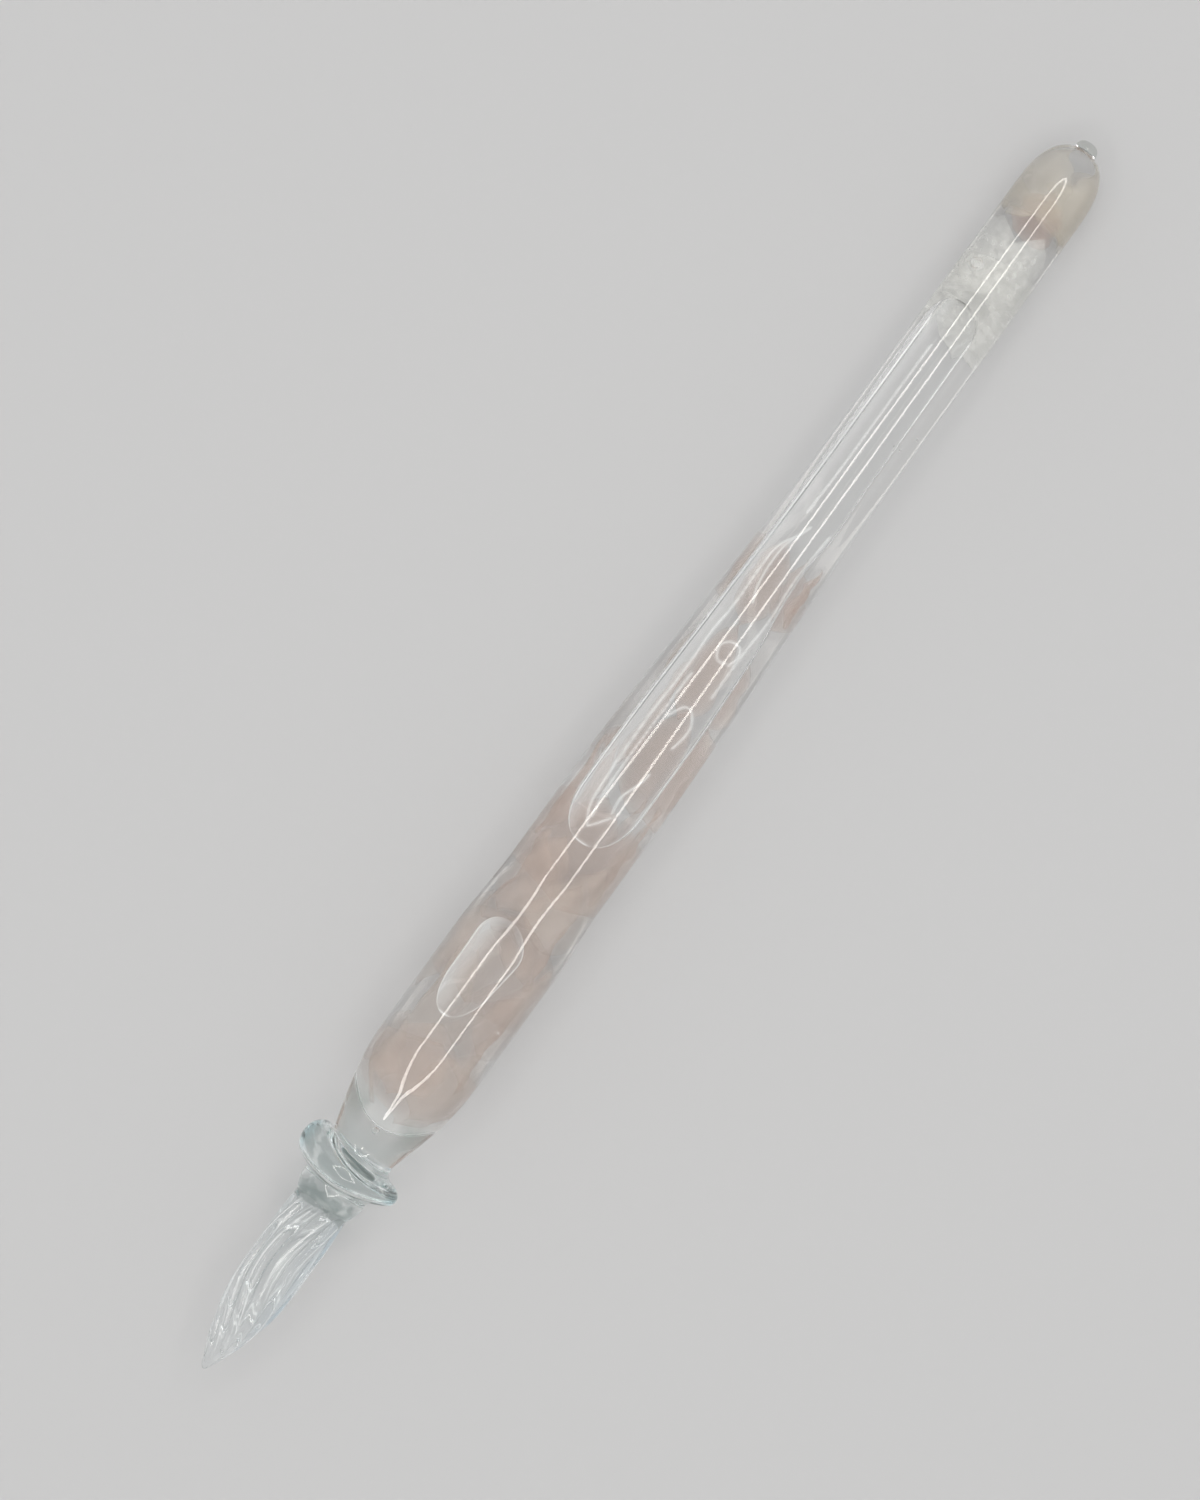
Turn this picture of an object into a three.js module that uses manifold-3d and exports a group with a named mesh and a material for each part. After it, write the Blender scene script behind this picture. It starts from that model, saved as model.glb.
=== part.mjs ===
// A flame-worked glass dip pen with a hollow handle. From the nib end it is a twisted, fluted nib, the
// gather that joins it on, a pressed collar, a solid shoulder with a round-bottomed cup, and a drawn tube.
// The tube is filled through a hole in its tail with clear liquid, two long air bubbles and dried petals,
// and a drop of glass seals the hole.
//
// Millimetres. In the pen's own frame x runs from the nib's point to the tail, along the pen's axis, z is
// up, and an angle round the axis is measured from the top towards -y. The last group lays the pen down
// on its belly and tail, as it lies on a desk, with z = 0 the desk.
import * as THREE from "three";
import { mergeVertices } from "three/addons/utils/BufferGeometryUtils.js";
import Module from "manifold-3d";

const wasm = await Module();
wasm.setup();

// Driving dimensions: the nib
const nibLength = 23.4;
const nibRadius = 3.72;
const nibPointLength = 14; // the part of the nib that narrows to its point
const nibPointRadius = 0.28;
const nibRootRadius = 3.5;
const nibRootLength = 6; // the part of the nib that narrows to its root
const grooveCount = 10;
const grooveDepth = 0.6;
const grooveSharpness = 1.8; // over 1, a groove is narrower than the ridge beside it
const swirlAngle = 77; // degrees that the grooves swing round, towards both ends of the nib
const swirlCentre = 15; // from the point, where the grooves run straight
const swirlSpan = 8;

// The gather of glass between nib and collar, and the collar
const gatherLength = 2.35;
const gatherBead = 0.3; // how far the gather stands out from the flare between its two ends
const collarLength = 5.65; // at the hub
const collarRadius = 6.78;
const collarHubRadius = 4.1;
const collarThickSide = 5.2; // the rim was pressed thicker on its +y side than on its -y side
const collarThinSide = 3;
const collarDish = 0.02; // how fast the rim bends away from the nib, per mm squared
const collarDishCentre = 1; // where it bends from, towards +y

// The shoulder, with the round bottom of the bore in it
const neckRadius = 4.15;
const shoulderLength = 8.8;
const shoulderFloor = 3.5; // solid glass between the collar and the deepest point of the cup
const shoulderRise = 13; // from the neck to the full belly
const shoulderHollow = 1.05; // over 1, the neck starts with a hollow curve

// The tube, from the shoulder to its tail
const bellyRadius = 6.62;
const bellyEnd = 59; // from the nib's point
const gripRadius = 6.14;
const gripStart = 69;
const gripEnd = 78;
const shaftRadius = 4.66;
const shaftStart = 130;
const tailRadius = 4.54;
const tubeEnd = 173.9;
const domeLength = 7.9;
const gripWall = 1.3;
const shaftWall = 1.05;
const tailWall = 1.1; // glass between the end of the bore and the end of the tube
const fillHoleRadius = 1.05;

// The drop that seals the tail
const sealLength = 1.1;
const sealRadius = 1.4;
const sealStemLength = 1;

// The filling
const petalThickness = 0.26;
const petalClearance = 0.3; // from a petal to the liquid and to the wall
const petalLayer = 0.45; // from one layer of petals to the next
const petalSkew = 0.16; // how far a petal's ends turn round the wall, in radians
const smallBubbleStart = 14.5; // from the cup's bottom
const smallBubbleLength = 13.2;
const smallBubbleHalfAngle = 34; // half of what a bubble spans round the wall, in degrees
const smallBubbleAngle = -14; // of the bubble's middle, from the top
const longBubbleStart = 39.7; // from the cup's bottom
const longBubbleTail = 21.8; // from the bubble's end to the bore's end
const longBubbleHalfAngle = 52;
const longBubbleTailHalfAngle = 59;
const longBubbleAngle = -5;
const longBubbleTailAngle = -19;
const bubbleRounding = 5; // the length of a bubble's round end
const bubbleSlice = 11; // the longest slice of a bubble

// How finely round pieces are made, and the gap between fused pieces
const sides = 32; // their flats lie at the true radius
const seam = 0.15; // half of the gap

const degrees = Math.PI / 180;
const ease = (t) => t * t * (3 - 2 * t);
const share = (x, from, to) => Math.min(1, Math.max(0, (x - from) / (to - from)));
const between = (from, to, t) => from + (to - from) * t;

// Where the pieces meet, along the axis
const gatherStart = nibLength;
const collarStart = gatherStart + gatherLength;
const shoulderStart = collarStart + collarLength;
const tubeStart = shoulderStart + shoulderLength;
const cupBottom = shoulderStart + shoulderFloor;
const tailStart = tubeEnd - domeLength;
const boreEnd = tubeEnd - tailWall;
const boreDomeLength = domeLength - tailWall;

// The outer radius of the shoulder and the tube at x
function outerRadius(x) {
  const rise = Math.sin((Math.PI / 2) * share(x, shoulderStart, shoulderStart + shoulderRise));
  let radius = between(neckRadius, bellyRadius, rise ** shoulderHollow);
  radius += (gripRadius - bellyRadius) * ease(share(x, bellyEnd, gripStart));
  radius += (shaftRadius - gripRadius) * ease(share(x, gripEnd, shaftStart));
  radius += (tailRadius - shaftRadius) * share(x, shaftStart, tailStart);
  return radius * domeFactor(share(x, tailStart, tailStart + domeLength));
}

// The tail rounds off as a superellipse
function domeFactor(t) {
  return (1 - t ** 2.6) ** (1 / 2.4);
}

// The bore's radius at x: a paraboloid cup, then the tube less its wall, then a round end
function boreRadius(x) {
  const wall = between(gripWall, shaftWall, ease(share(x, gripEnd, shaftStart)));
  const cup = Math.sqrt(share(x, cupBottom, tubeStart));
  const mouth = outerRadius(tubeStart) - gripWall;
  if (x < tubeStart) return cup * mouth;
  const end = domeFactor(share(x, boreEnd - boreDomeLength, boreEnd + seam));
  return Math.max(fillHoleRadius, (outerRadius(Math.min(x, tailStart)) - wall) * end);
}

// Positions along the axis, closer together where closeness is over 1 at that end
function stations(from, to, steps, startCloseness = 1, endCloseness = 1) {
  const place = (t) => {
    const early = t ** startCloseness;
    return 1 - (1 - early) ** endCloseness;
  };
  return Array.from({ length: steps + 1 }, (_, i) => between(from, to, place(i / steps)));
}

// A solid of revolution about the x axis, from profile points [x, radius], with a flat at the bottom
function turned(profile) {
  const corner = 1 / Math.cos(Math.PI / sides);
  const points = profile.map(([x, radius]) => new THREE.Vector2(radius * corner, x));
  return new THREE.LatheGeometry(points, sides, Math.PI / sides, 2 * Math.PI).rotateZ(-Math.PI / 2);
}

// A closed skin over rings that all have the same number of points, with a flat cap at each end
function skin(rings) {
  const count = rings[0].length;
  const index = [];
  rings.slice(1).forEach((_, k) => {
    for (let i = 0; i < count; i++) {
      const here = k * count + i;
      const next = k * count + ((i + 1) % count);
      index.push(here, next, here + count, next, next + count, here + count);
    }
  });
  const last = rings.length - 1;
  const caps = [rings[0], rings[last]].map((ring) =>
    ring.reduce((sum, point) => sum.add(point), new THREE.Vector3()).divideScalar(count),
  );
  const centre = rings.length * count;
  for (let i = 0; i < count; i++) {
    const next = (i + 1) % count;
    index.push(centre, next, i);
    index.push(centre + 1, last * count + i, last * count + next);
  }
  const geometry = new THREE.BufferGeometry().setFromPoints([...rings.flat(), ...caps]);
  return geometry.setIndex(index);
}

// A point at x along the axis, at a radius and an angle from the top
function around(x, radius, angle) {
  return new THREE.Vector3(x, -radius * Math.sin(angle), radius * Math.cos(angle));
}

// A three.js geometry as a solid for cutting and joining, and back
function solid(geometry) {
  const bare = geometry.clone().deleteAttribute("normal").deleteAttribute("uv");
  const merged = mergeVertices(bare, 1e-4);
  const mesh = new wasm.Mesh({
    numProp: 3,
    vertProperties: merged.attributes.position.array,
    triVerts: new Uint32Array(merged.index.array),
  });
  return new wasm.Manifold(mesh);
}

function geometryOf(body) {
  const mesh = body.getMesh();
  const geometry = new THREE.BufferGeometry();
  geometry.setAttribute("position", new THREE.BufferAttribute(mesh.vertProperties, mesh.numProp));
  geometry.setIndex(new THREE.BufferAttribute(mesh.triVerts, 1));
  return geometry.toNonIndexed();
}

// The colours and finishes of the pieces
const glassFinish = { roughness: 0.05, metalness: 0, transparent: true };
const materials = {
  clearGlass: new THREE.MeshStandardMaterial({ color: 0xdfe6e4, opacity: 0.3, ...glassFinish }),
  aquaGlass: new THREE.MeshStandardMaterial({ color: 0xb4c8cc, opacity: 0.45, ...glassFinish }),
  liquid: new THREE.MeshStandardMaterial({ color: 0xe9e6e0, opacity: 0.2, ...glassFinish }),
  pinkPetal: new THREE.MeshStandardMaterial({ color: 0xb39488, roughness: 0.7, metalness: 0 }),
  palePetal: new THREE.MeshStandardMaterial({ color: 0xc9c8be, roughness: 0.7, metalness: 0 }),
};

const pen = new THREE.Group();

function add(name, geometry, material) {
  const mesh = new THREE.Mesh(geometry, material);
  mesh.name = name;
  pen.add(mesh);
}

// The nib: a rod drawn to a point, with grooves that swing one way and back again
function nibEnvelope(x) {
  const t = share(x, 0, nibPointLength);
  const root = ease(share(x, nibLength - nibRootLength, nibLength));
  return between(nibPointRadius, between(nibRadius, nibRootRadius, root), 1 - (1 - t) ** 2);
}

function grooveAngle(x) {
  const away = (x - swirlCentre) / swirlSpan;
  return swirlAngle * degrees * (Math.sqrt(1 + away * away) - 1);
}

function nibRing(x) {
  const pointsInGroove = 6;
  const envelope = nibEnvelope(x);
  const depth = grooveDepth * Math.min(1, (envelope / nibRadius) ** 1.2);
  return Array.from({ length: grooveCount * pointsInGroove }, (_, i) => {
    const turn = (2 * Math.PI * i) / (grooveCount * pointsInGroove);
    const groove = (0.5 - 0.5 * Math.cos(grooveCount * turn)) ** grooveSharpness;
    return around(x, envelope - depth * groove, grooveAngle(x) + turn);
  });
}

add("nib", skin(stations(0, nibLength - seam, 26, 1.4).map(nibRing)), materials.aquaGlass);

// The gather: a thick bead that the nib is fused to
function gatherProfile() {
  const from = gatherStart + seam;
  const to = collarStart - seam;
  const bead = stations(from, to, 6).map((x) => {
    const along = share(x, from, to);
    const flare = between(nibRootRadius, collarHubRadius, along ** 1.5);
    return [x, flare + gatherBead * Math.sin(Math.PI * along) ** 0.8];
  });
  return [[from, 0], ...bead, [to, 0]];
}

add("nib_gather", turned(gatherProfile()), materials.aquaGlass);

// The collar: a disc with flat hub faces and a full round rim, pressed thicker on one side and dished
function collarProfile() {
  const steps = 8;
  const half = collarLength / 2;
  const middle = collarStart + half;
  const rim = Array.from({ length: 2 * steps + 1 }, (_, i) => {
    const angle = (Math.PI * i) / (2 * steps);
    const radius = between(collarHubRadius, collarRadius, Math.sin(angle) ** 0.8);
    return [middle - (half - seam) * Math.sign(Math.cos(angle)) * Math.abs(Math.cos(angle)) ** 0.8, radius];
  });
  return [[middle - half + seam, 0], ...rim, [middle + half - seam, 0]];
}

// Moves a point of the disc along the axis: a flat hub's points stay, and the rim's follow the dish
function press(geometry) {
  const middle = collarStart + collarLength / 2;
  const position = geometry.attributes.position;
  for (let i = 0; i < position.count; i++) {
    const [y, z] = [position.getY(i), position.getZ(i)];
    const across = (position.getX(i) - middle) / collarLength + 0.5;
    const nibFace = collarStart + seam + collarDish * (y - collarDishCentre) ** 2;
    const thickness = between(collarThinSide, collarThickSide, share(y, -collarRadius, collarRadius));
    const atRim = ease(share(Math.hypot(y, z), collarHubRadius, collarRadius));
    position.setX(i, between(position.getX(i), nibFace + thickness * across, atRim));
  }
  return geometry;
}

add("collar", press(turned(collarProfile())), materials.aquaGlass);

// The shoulder: solid glass that flares from the neck, with the bore's round cup in its tail face
function shoulderProfile() {
  const from = shoulderStart + seam;
  const to = tubeStart - seam;
  const outside = stations(from, to, 6).map((x) => [x, outerRadius(x)]);
  const cup = stations(cupBottom, to, 6, 2).map((x) => [x, boreRadius(x)]);
  return [[from, 0], ...outside, ...cup.reverse()];
}

add("shoulder", turned(shoulderProfile()), materials.clearGlass);

// The tube, open at the shoulder and at the fill hole in its tail
function tubeProfile() {
  const from = tubeStart + seam;
  const outside = [
    ...stations(from, bellyEnd, 3),
    ...stations(bellyEnd, gripStart, 3).slice(1),
    gripEnd,
    ...stations(gripEnd, shaftStart, 6).slice(1),
    ...stations(tailStart, tubeEnd, 7, 1, 1.5),
  ].map((x) => [x, outerRadius(x)]);
  const inside = [
    ...stations(from, bellyEnd, 3),
    ...stations(bellyEnd, gripStart, 3).slice(1),
    gripEnd,
    ...stations(gripEnd, shaftStart, 6).slice(1),
    ...stations(boreEnd - boreDomeLength, boreEnd, 6, 1, 1.6),
  ].map((x) => [x, boreRadius(x)]);
  const hole = [[tubeEnd, fillHoleRadius]];
  const profile = [...outside, ...hole, ...inside.reverse()];
  return [...profile, profile[0]];
}

add("barrel_tube", turned(tubeProfile()), materials.clearGlass);

// The seal: a stem in the fill hole under a flattened drop
function sealProfile() {
  const stemRadius = fillHoleRadius - seam;
  const headStart = tubeEnd + seam;
  const head = Array.from({ length: 6 }, (_, i) => {
    const angle = (Math.PI / 2) * (i / 5);
    return [headStart + (sealLength - seam) * Math.sin(angle), sealRadius * Math.cos(angle) ** 0.6];
  });
  const stemStart = tubeEnd - sealStemLength;
  return [[stemStart, 0], [stemStart, stemRadius], [headStart, stemRadius], ...head.slice(0, -1),
    [headStart + sealLength - seam, 0]];
}

add("tail_seal", turned(sealProfile()), materials.clearGlass);

// The petals. Each lies along the wall of the bore. Its middle is measured from the cup's bottom or back
// from the bore's end, its angle from the top, and its spread in degrees round the wall. Its layer is
// counted inwards from the wall.
const petals = [
  { from: "grip", at: 6.4, angle: 166, length: 10, spread: 108, layer: 0 },
  { from: "grip", at: 7.2, angle: -88, length: 10.6, spread: 96, layer: 1 },
  { from: "grip", at: 8, angle: 66, length: 11, spread: 100, layer: 1 },
  { from: "grip", at: 8.6, angle: -16, length: 10, spread: 92, layer: 0 },
  { from: "grip", at: 14.6, angle: 118, length: 13.5, spread: 104, layer: 2 },
  { from: "grip", at: 16.4, angle: -134, length: 13.6, spread: 108, layer: 3 },
  { from: "grip", at: 19, angle: 78, length: 13, spread: 84, layer: 0 },
  { from: "grip", at: 22.6, angle: 176, length: 12.4, spread: 112, layer: 1 },
  { from: "grip", at: 22.4, angle: -92, length: 14, spread: 76, layer: 0 },
  { from: "grip", at: 28.8, angle: 134, length: 13.8, spread: 106, layer: 3 },
  { from: "grip", at: 32.8, angle: 48, length: 12.4, spread: 92, layer: 0 },
  { from: "grip", at: 32.4, angle: -130, length: 13, spread: 104, layer: 2 },
  { from: "grip", at: 33.6, angle: -42, length: 11.4, spread: 92, layer: 1 },
  { from: "grip", at: 38.8, angle: 178, length: 14, spread: 108, layer: 0 },
  { from: "grip", at: 41.2, angle: 96, length: 14, spread: 78, layer: 1 },
  { from: "grip", at: 44.5, angle: -110, length: 14, spread: 74, layer: 1 },
  { from: "grip", at: 52.6, angle: 150, length: 14, spread: 100, layer: 0 },
  { from: "grip", at: 57, angle: -120, length: 15, spread: 60, layer: 2 },
  { from: "grip", at: 64.5, angle: 176, length: 13, spread: 92, layer: 1 },
  { from: "grip", at: 76.6, angle: -168, length: 11, spread: 92, layer: 0 },
  { from: "grip", at: 77.4, angle: 104, length: 8, spread: 70, layer: 1 },
  { from: "tail", at: 20.8, angle: 146, length: 13, spread: 140, layer: 0 },
  { from: "tail", at: 16.3, angle: -74, length: 11.2, spread: 120, layer: 0 },
  { from: "tail", at: 15.4, angle: 36, length: 10, spread: 84, layer: 1 },
  { from: "tail", at: 5.1, angle: -64, length: 9.2, spread: 140, layer: 0 },
  { from: "tail", at: 5.3, angle: 112, length: 9, spread: 132, layer: 0 },
  { from: "tail", at: 8.7, angle: 172, length: 6.2, spread: 104, layer: 2 },
];
const palePetals = ["petal_22", "petal_23", "petal_24"];

// One slice of a petal or of its pocket: a band round the wall between two depths from it
function band(x, angle, halfSpread, nearWall, inside) {
  const steps = 4;
  const wall = boreRadius(x);
  const arc = (radius) =>
    Array.from({ length: steps + 1 }, (_, i) => {
      return around(x, radius, angle + halfSpread * between(-1, 1, i / steps));
    });
  return [...arc(wall - nearWall), ...arc(wall - inside).reverse()];
}

// Slices along a petal, grown by a margin: broad in its middle, narrow at its claw, lying a little askew
function petalSkin(petal, margin, nearWall, inside) {
  const steps = 6;
  const middle = petal.from === "grip" ? cupBottom + petal.at : boreEnd - petal.at;
  const half = petal.length / 2;
  const depth = petal.layer * petalLayer;
  const rings = Array.from({ length: steps + 1 }, (_, i) => {
    const t = between(-1, 1, i / steps);
    const x = middle + (half + margin) * t;
    const breadth = Math.max(0.18, (1 - Math.abs(t) ** 2.6) ** 0.6 * (1 - 0.22 * t));
    const halfSpread = (petal.spread / 2) * degrees * breadth + margin / boreRadius(middle);
    const angle = petal.angle * degrees + petalSkew * t;
    return band(x, angle, halfSpread, nearWall(depth), inside(depth));
  });
  return skin(rings);
}

function petalGeometry(petal) {
  const nearWall = (depth) => depth + petalClearance;
  return petalSkin(petal, 0, nearWall, (depth) => nearWall(depth) + petalThickness);
}

// The room that the liquid leaves for a petal, open to the wall so that the liquid has no sealed hollow
function pocketGeometry(petal) {
  const deep = (depth) => depth + 2 * petalClearance + petalThickness;
  return petalSkin(petal, petalClearance, () => -petalClearance, deep);
}

petals.forEach((petal, i) => {
  const name = `petal_${String(i + 1).padStart(2, "0")}`;
  const material = palePetals.includes(name) ? materials.palePetal : materials.pinkPetal;
  add(name, petalGeometry(petal), material);
});

// The bubbles lie along the top of the bore. Each spans an angle round the wall, and is flat below.
const bubbles = [
  {
    start: cupBottom + smallBubbleStart,
    end: cupBottom + smallBubbleStart + smallBubbleLength,
    angles: [smallBubbleAngle, smallBubbleAngle],
    halfAngles: [smallBubbleHalfAngle, smallBubbleHalfAngle],
  },
  {
    start: cupBottom + longBubbleStart,
    end: boreEnd - longBubbleTail,
    angles: [longBubbleAngle, longBubbleTailAngle],
    halfAngles: [longBubbleHalfAngle, longBubbleTailHalfAngle],
  },
];

// One slice of a bubble: a flat-bottomed segment of the bore that reaches past its wall
function bubbleRing(bubble, x) {
  const steps = 5;
  const nearest = Math.min(x - bubble.start, bubble.end - x);
  const rounding = Math.sqrt(1 - (1 - share(nearest, 0, bubbleRounding)) ** 2);
  const along = share(x, bubble.start, bubble.end);
  const full = between(...bubble.halfAngles, along);
  const half = full * degrees * Math.max(0.12, rounding);
  const wall = boreRadius(x);
  const floor = wall * Math.cos(full * degrees);
  const middle = between(...bubble.angles, along) * degrees;
  const above = Array.from({ length: steps + 1 }, (_, i) => {
    return around(x, wall + 1, middle + half * between(-1, 1, i / steps));
  });
  const below = Array.from({ length: steps + 1 }, (_, i) => {
    const turn = half * between(1, -1, i / steps);
    return around(x, floor / Math.cos(turn), middle + turn);
  });
  return [...above, ...below];
}

function bubbleGeometry(bubble) {
  const from = bubble.start + bubbleRounding;
  const to = bubble.end - bubbleRounding;
  const slices = [
    ...stations(bubble.start, from, 5, 2),
    ...stations(from, to, Math.max(1, Math.round((to - from) / bubbleSlice))).slice(1),
    ...stations(to, bubble.end, 5, 1, 2).slice(1),
  ];
  return skin(slices.map((x) => bubbleRing(bubble, x)));
}

// Of separate bodies, the one that holds the most: drops shut in between two petals are left out
function largest(bodies) {
  return bodies.reduce((most, body) => (body.volume() > most.volume() ? body : most));
}

// The liquid: what fills the bore, less the bubbles and the petals' pockets
function liquidGeometry() {
  const film = [
    ...stations(cupBottom, tubeStart, 5, 2),
    ...stations(tubeStart, bellyEnd, 3).slice(1),
    ...stations(bellyEnd, gripStart, 3).slice(1),
    gripEnd,
    ...stations(gripEnd, shaftStart, 6).slice(1),
    ...stations(boreEnd - boreDomeLength, boreEnd, 6, 1, 1.6),
  ];
  const profile = film.map((x) => [x, Math.max(0, boreRadius(x) - 2 * seam)]);
  profile[0] = [cupBottom + 2 * seam, 0];
  const end = boreEnd - 2 * seam;
  profile[profile.length - 1] = [end, fillHoleRadius];
  let liquid = solid(turned([...profile, [end, 0]]));
  for (const bubble of bubbles) liquid = liquid.subtract(solid(bubbleGeometry(bubble)));
  for (const petal of petals) liquid = liquid.subtract(solid(pocketGeometry(petal)));
  return geometryOf(largest(liquid.decompose()));
}

add("liquid_fill", liquidGeometry(), materials.liquid);

// The pen lies on two rings of its outline, one on either side of its middle: of all such pairs, the two
// whose common tangent stands proudest there. It tips until both touch the desk.
const penLength = tubeEnd + sealLength;
const outline = [...collarProfile(), ...shoulderProfile(), ...tubeProfile()];
const before = outline.filter(([x]) => x < penLength / 2);
const behind = outline.filter(([x]) => x > penLength / 2);
const tangents = before.flatMap(([x0, r0]) => behind.map(([x1, r1]) => {
  const slope = (r1 - r0) / (x1 - x0);
  return { slope, atPoint: r0 - slope * x0, atMiddle: r0 + slope * (penLength / 2 - x0) };
}));
const desk = tangents.reduce((best, line) => (line.atMiddle > best.atMiddle ? line : best));
const restTilt = Math.atan(-desk.slope);

pen.rotation.y = restTilt;
pen.position.z = desk.atPoint * Math.cos(restTilt);
pen.position.x = -(penLength / 2) * Math.cos(restTilt);

const glassPen = new THREE.Group();
glassPen.add(pen);

export default glassPen;
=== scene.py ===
# %% [markdown]
# A flame-worked glass dip pen, filled with oil and dried petals
#
# The pen is one fused piece of glass: a fluted nib, the gather that joins it on, a pressed collar, a solid
# shoulder and a long tube. The tube holds clear oil, two long air bubbles and pink petals, and a drop of
# glass seals its tail. This lesson builds each of them as a mesh, and then spends its effort on what makes
# glass look like glass: which surface bends light, by how much, and what light there is to bend.
#
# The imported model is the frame. Every piece is made at its place in that frame, in metres.

# %% Load the frame
import math

import bpy
import numpy as np
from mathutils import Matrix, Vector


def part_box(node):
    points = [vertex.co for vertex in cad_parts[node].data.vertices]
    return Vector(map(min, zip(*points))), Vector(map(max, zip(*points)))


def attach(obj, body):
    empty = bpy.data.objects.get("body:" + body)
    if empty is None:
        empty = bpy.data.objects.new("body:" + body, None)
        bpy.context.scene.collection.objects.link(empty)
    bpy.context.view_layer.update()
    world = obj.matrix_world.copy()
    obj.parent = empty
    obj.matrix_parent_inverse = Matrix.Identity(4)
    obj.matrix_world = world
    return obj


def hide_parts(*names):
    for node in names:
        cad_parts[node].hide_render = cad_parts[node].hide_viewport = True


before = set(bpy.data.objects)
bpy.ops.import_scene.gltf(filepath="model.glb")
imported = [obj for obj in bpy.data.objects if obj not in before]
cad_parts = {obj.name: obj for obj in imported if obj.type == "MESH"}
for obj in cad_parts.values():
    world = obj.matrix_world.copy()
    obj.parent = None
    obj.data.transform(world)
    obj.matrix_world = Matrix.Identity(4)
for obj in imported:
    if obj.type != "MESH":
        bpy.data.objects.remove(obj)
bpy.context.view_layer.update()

# %% [markdown]
# The pen's own sizes
#
# A glass worker thinks of a pen in its own frame: x runs from the nib's point to the tail, z is up, and
# round the axis an angle is counted from the top. The sizes are the source's own, in millimetres, and finer
# shapes are added to them. POLISH is the one that isn't the source's: it takes 0.02 mm off the outside. The
# petals differ too. They are thinner and broader than the source's, and three at the tail lie elsewhere.

# %% Sizes of the glass, in millimetres
MM = 0.001
NIB_LENGTH = 23.4
NIB_RADIUS = 3.72
NIB_POINT_LENGTH = 14
NIB_POINT_RADIUS = 0.28
NIB_ROOT_RADIUS = 3.5
NIB_ROOT_LENGTH = 6
GROOVES = 10
GROOVE_DEPTH = 0.6
GROOVE_SHARPNESS = 1.8
SWIRL_ANGLE = 77
SWIRL_CENTRE = 15
SWIRL_SPAN = 8
GATHER_LENGTH = 2.35
GATHER_BEAD = 0.3
COLLAR_LENGTH = 5.65
COLLAR_RADIUS = 6.78
COLLAR_THICK_SIDE = 5.2
COLLAR_THIN_SIDE = 3.0
COLLAR_DISH = 0.02
COLLAR_DISH_CENTRE = 1.0
COLLAR_HUB_RADIUS = 4.1
NECK_RADIUS = 4.15
SHOULDER_LENGTH = 8.8
SHOULDER_FLOOR = 3.5
SHOULDER_RISE = 13
BELLY_RADIUS = 6.62
BELLY_END = 59
GRIP_RADIUS = 6.14
GRIP_START = 69
GRIP_END = 78
SHAFT_RADIUS = 4.66
SHAFT_START = 130
TAIL_RADIUS = 4.54
TUBE_END = 173.9
DOME_LENGTH = 7.9
GRIP_WALL = 1.3
SHAFT_WALL = 1.05
TAIL_WALL = 1.1
FILL_HOLE_RADIUS = 1.05
SEAL_LENGTH = 1.1
SEAL_RADIUS = 1.4
SEAL_STEM_LENGTH = 1.0
POLISH = 0.02

# %% Where the pieces meet
GATHER_START = NIB_LENGTH
COLLAR_START = GATHER_START + GATHER_LENGTH
SHOULDER_START = COLLAR_START + COLLAR_LENGTH
TUBE_START = SHOULDER_START + SHOULDER_LENGTH
CUP_BOTTOM = SHOULDER_START + SHOULDER_FLOOR
TAIL_START = TUBE_END - DOME_LENGTH
BORE_END = TUBE_END - TAIL_WALL
BORE_DOME_LENGTH = DOME_LENGTH - TAIL_WALL
PEN_LENGTH = TUBE_END + SEAL_LENGTH
print("the pen is", PEN_LENGTH, "mm long, and its bore runs from", CUP_BOTTOM, "to", BORE_END)

# %% [markdown]
# The outline of the handle
#
# The shoulder swells like a quarter of a sine wave, the tube narrows in two eased steps, and the tail
# rounds off as a superellipse. Written as functions, the outline can be sampled as finely as each mesh
# needs.


# %% The outer and inner radius at any x
def share(x, start, end):
    return np.clip((np.asarray(x, float) - start) / (end - start), 0, 1)


def ease(t):
    return t * t * (3 - 2 * t)


def dome_factor(t):
    return (1 - t**2.6) ** (1 / 2.4)


def outer_radius(x):
    rise = np.sin(math.pi / 2 * share(x, SHOULDER_START, SHOULDER_START + SHOULDER_RISE)) ** 1.05
    radius = NECK_RADIUS + (BELLY_RADIUS - NECK_RADIUS) * rise
    radius = radius + (GRIP_RADIUS - BELLY_RADIUS) * ease(share(x, BELLY_END, GRIP_START))
    radius = radius + (SHAFT_RADIUS - GRIP_RADIUS) * ease(share(x, GRIP_END, SHAFT_START))
    radius = radius + (TAIL_RADIUS - SHAFT_RADIUS) * share(x, SHAFT_START, TAIL_START)
    radius = radius - POLISH * ease(share(x, SHOULDER_START, TUBE_START))
    return radius * dome_factor(share(x, TAIL_START, TUBE_END))


def bore_radius(x):
    x = np.asarray(x, float)
    wall = GRIP_WALL + (SHAFT_WALL - GRIP_WALL) * ease(share(x, GRIP_END, SHAFT_START))
    mouth = outer_radius(TUBE_START) - GRIP_WALL
    cup = np.sqrt(share(x, CUP_BOTTOM, TUBE_START)) * mouth
    end = dome_factor(share(x, BORE_END - BORE_DOME_LENGTH, BORE_END))
    tube = (outer_radius(np.minimum(x, TAIL_START)) - wall) * end
    return np.where(x < TUBE_START, cup, tube)


print("belly", float(outer_radius(55)), "shaft", float(outer_radius(140)), "bore", float(bore_radius(55)))

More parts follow.
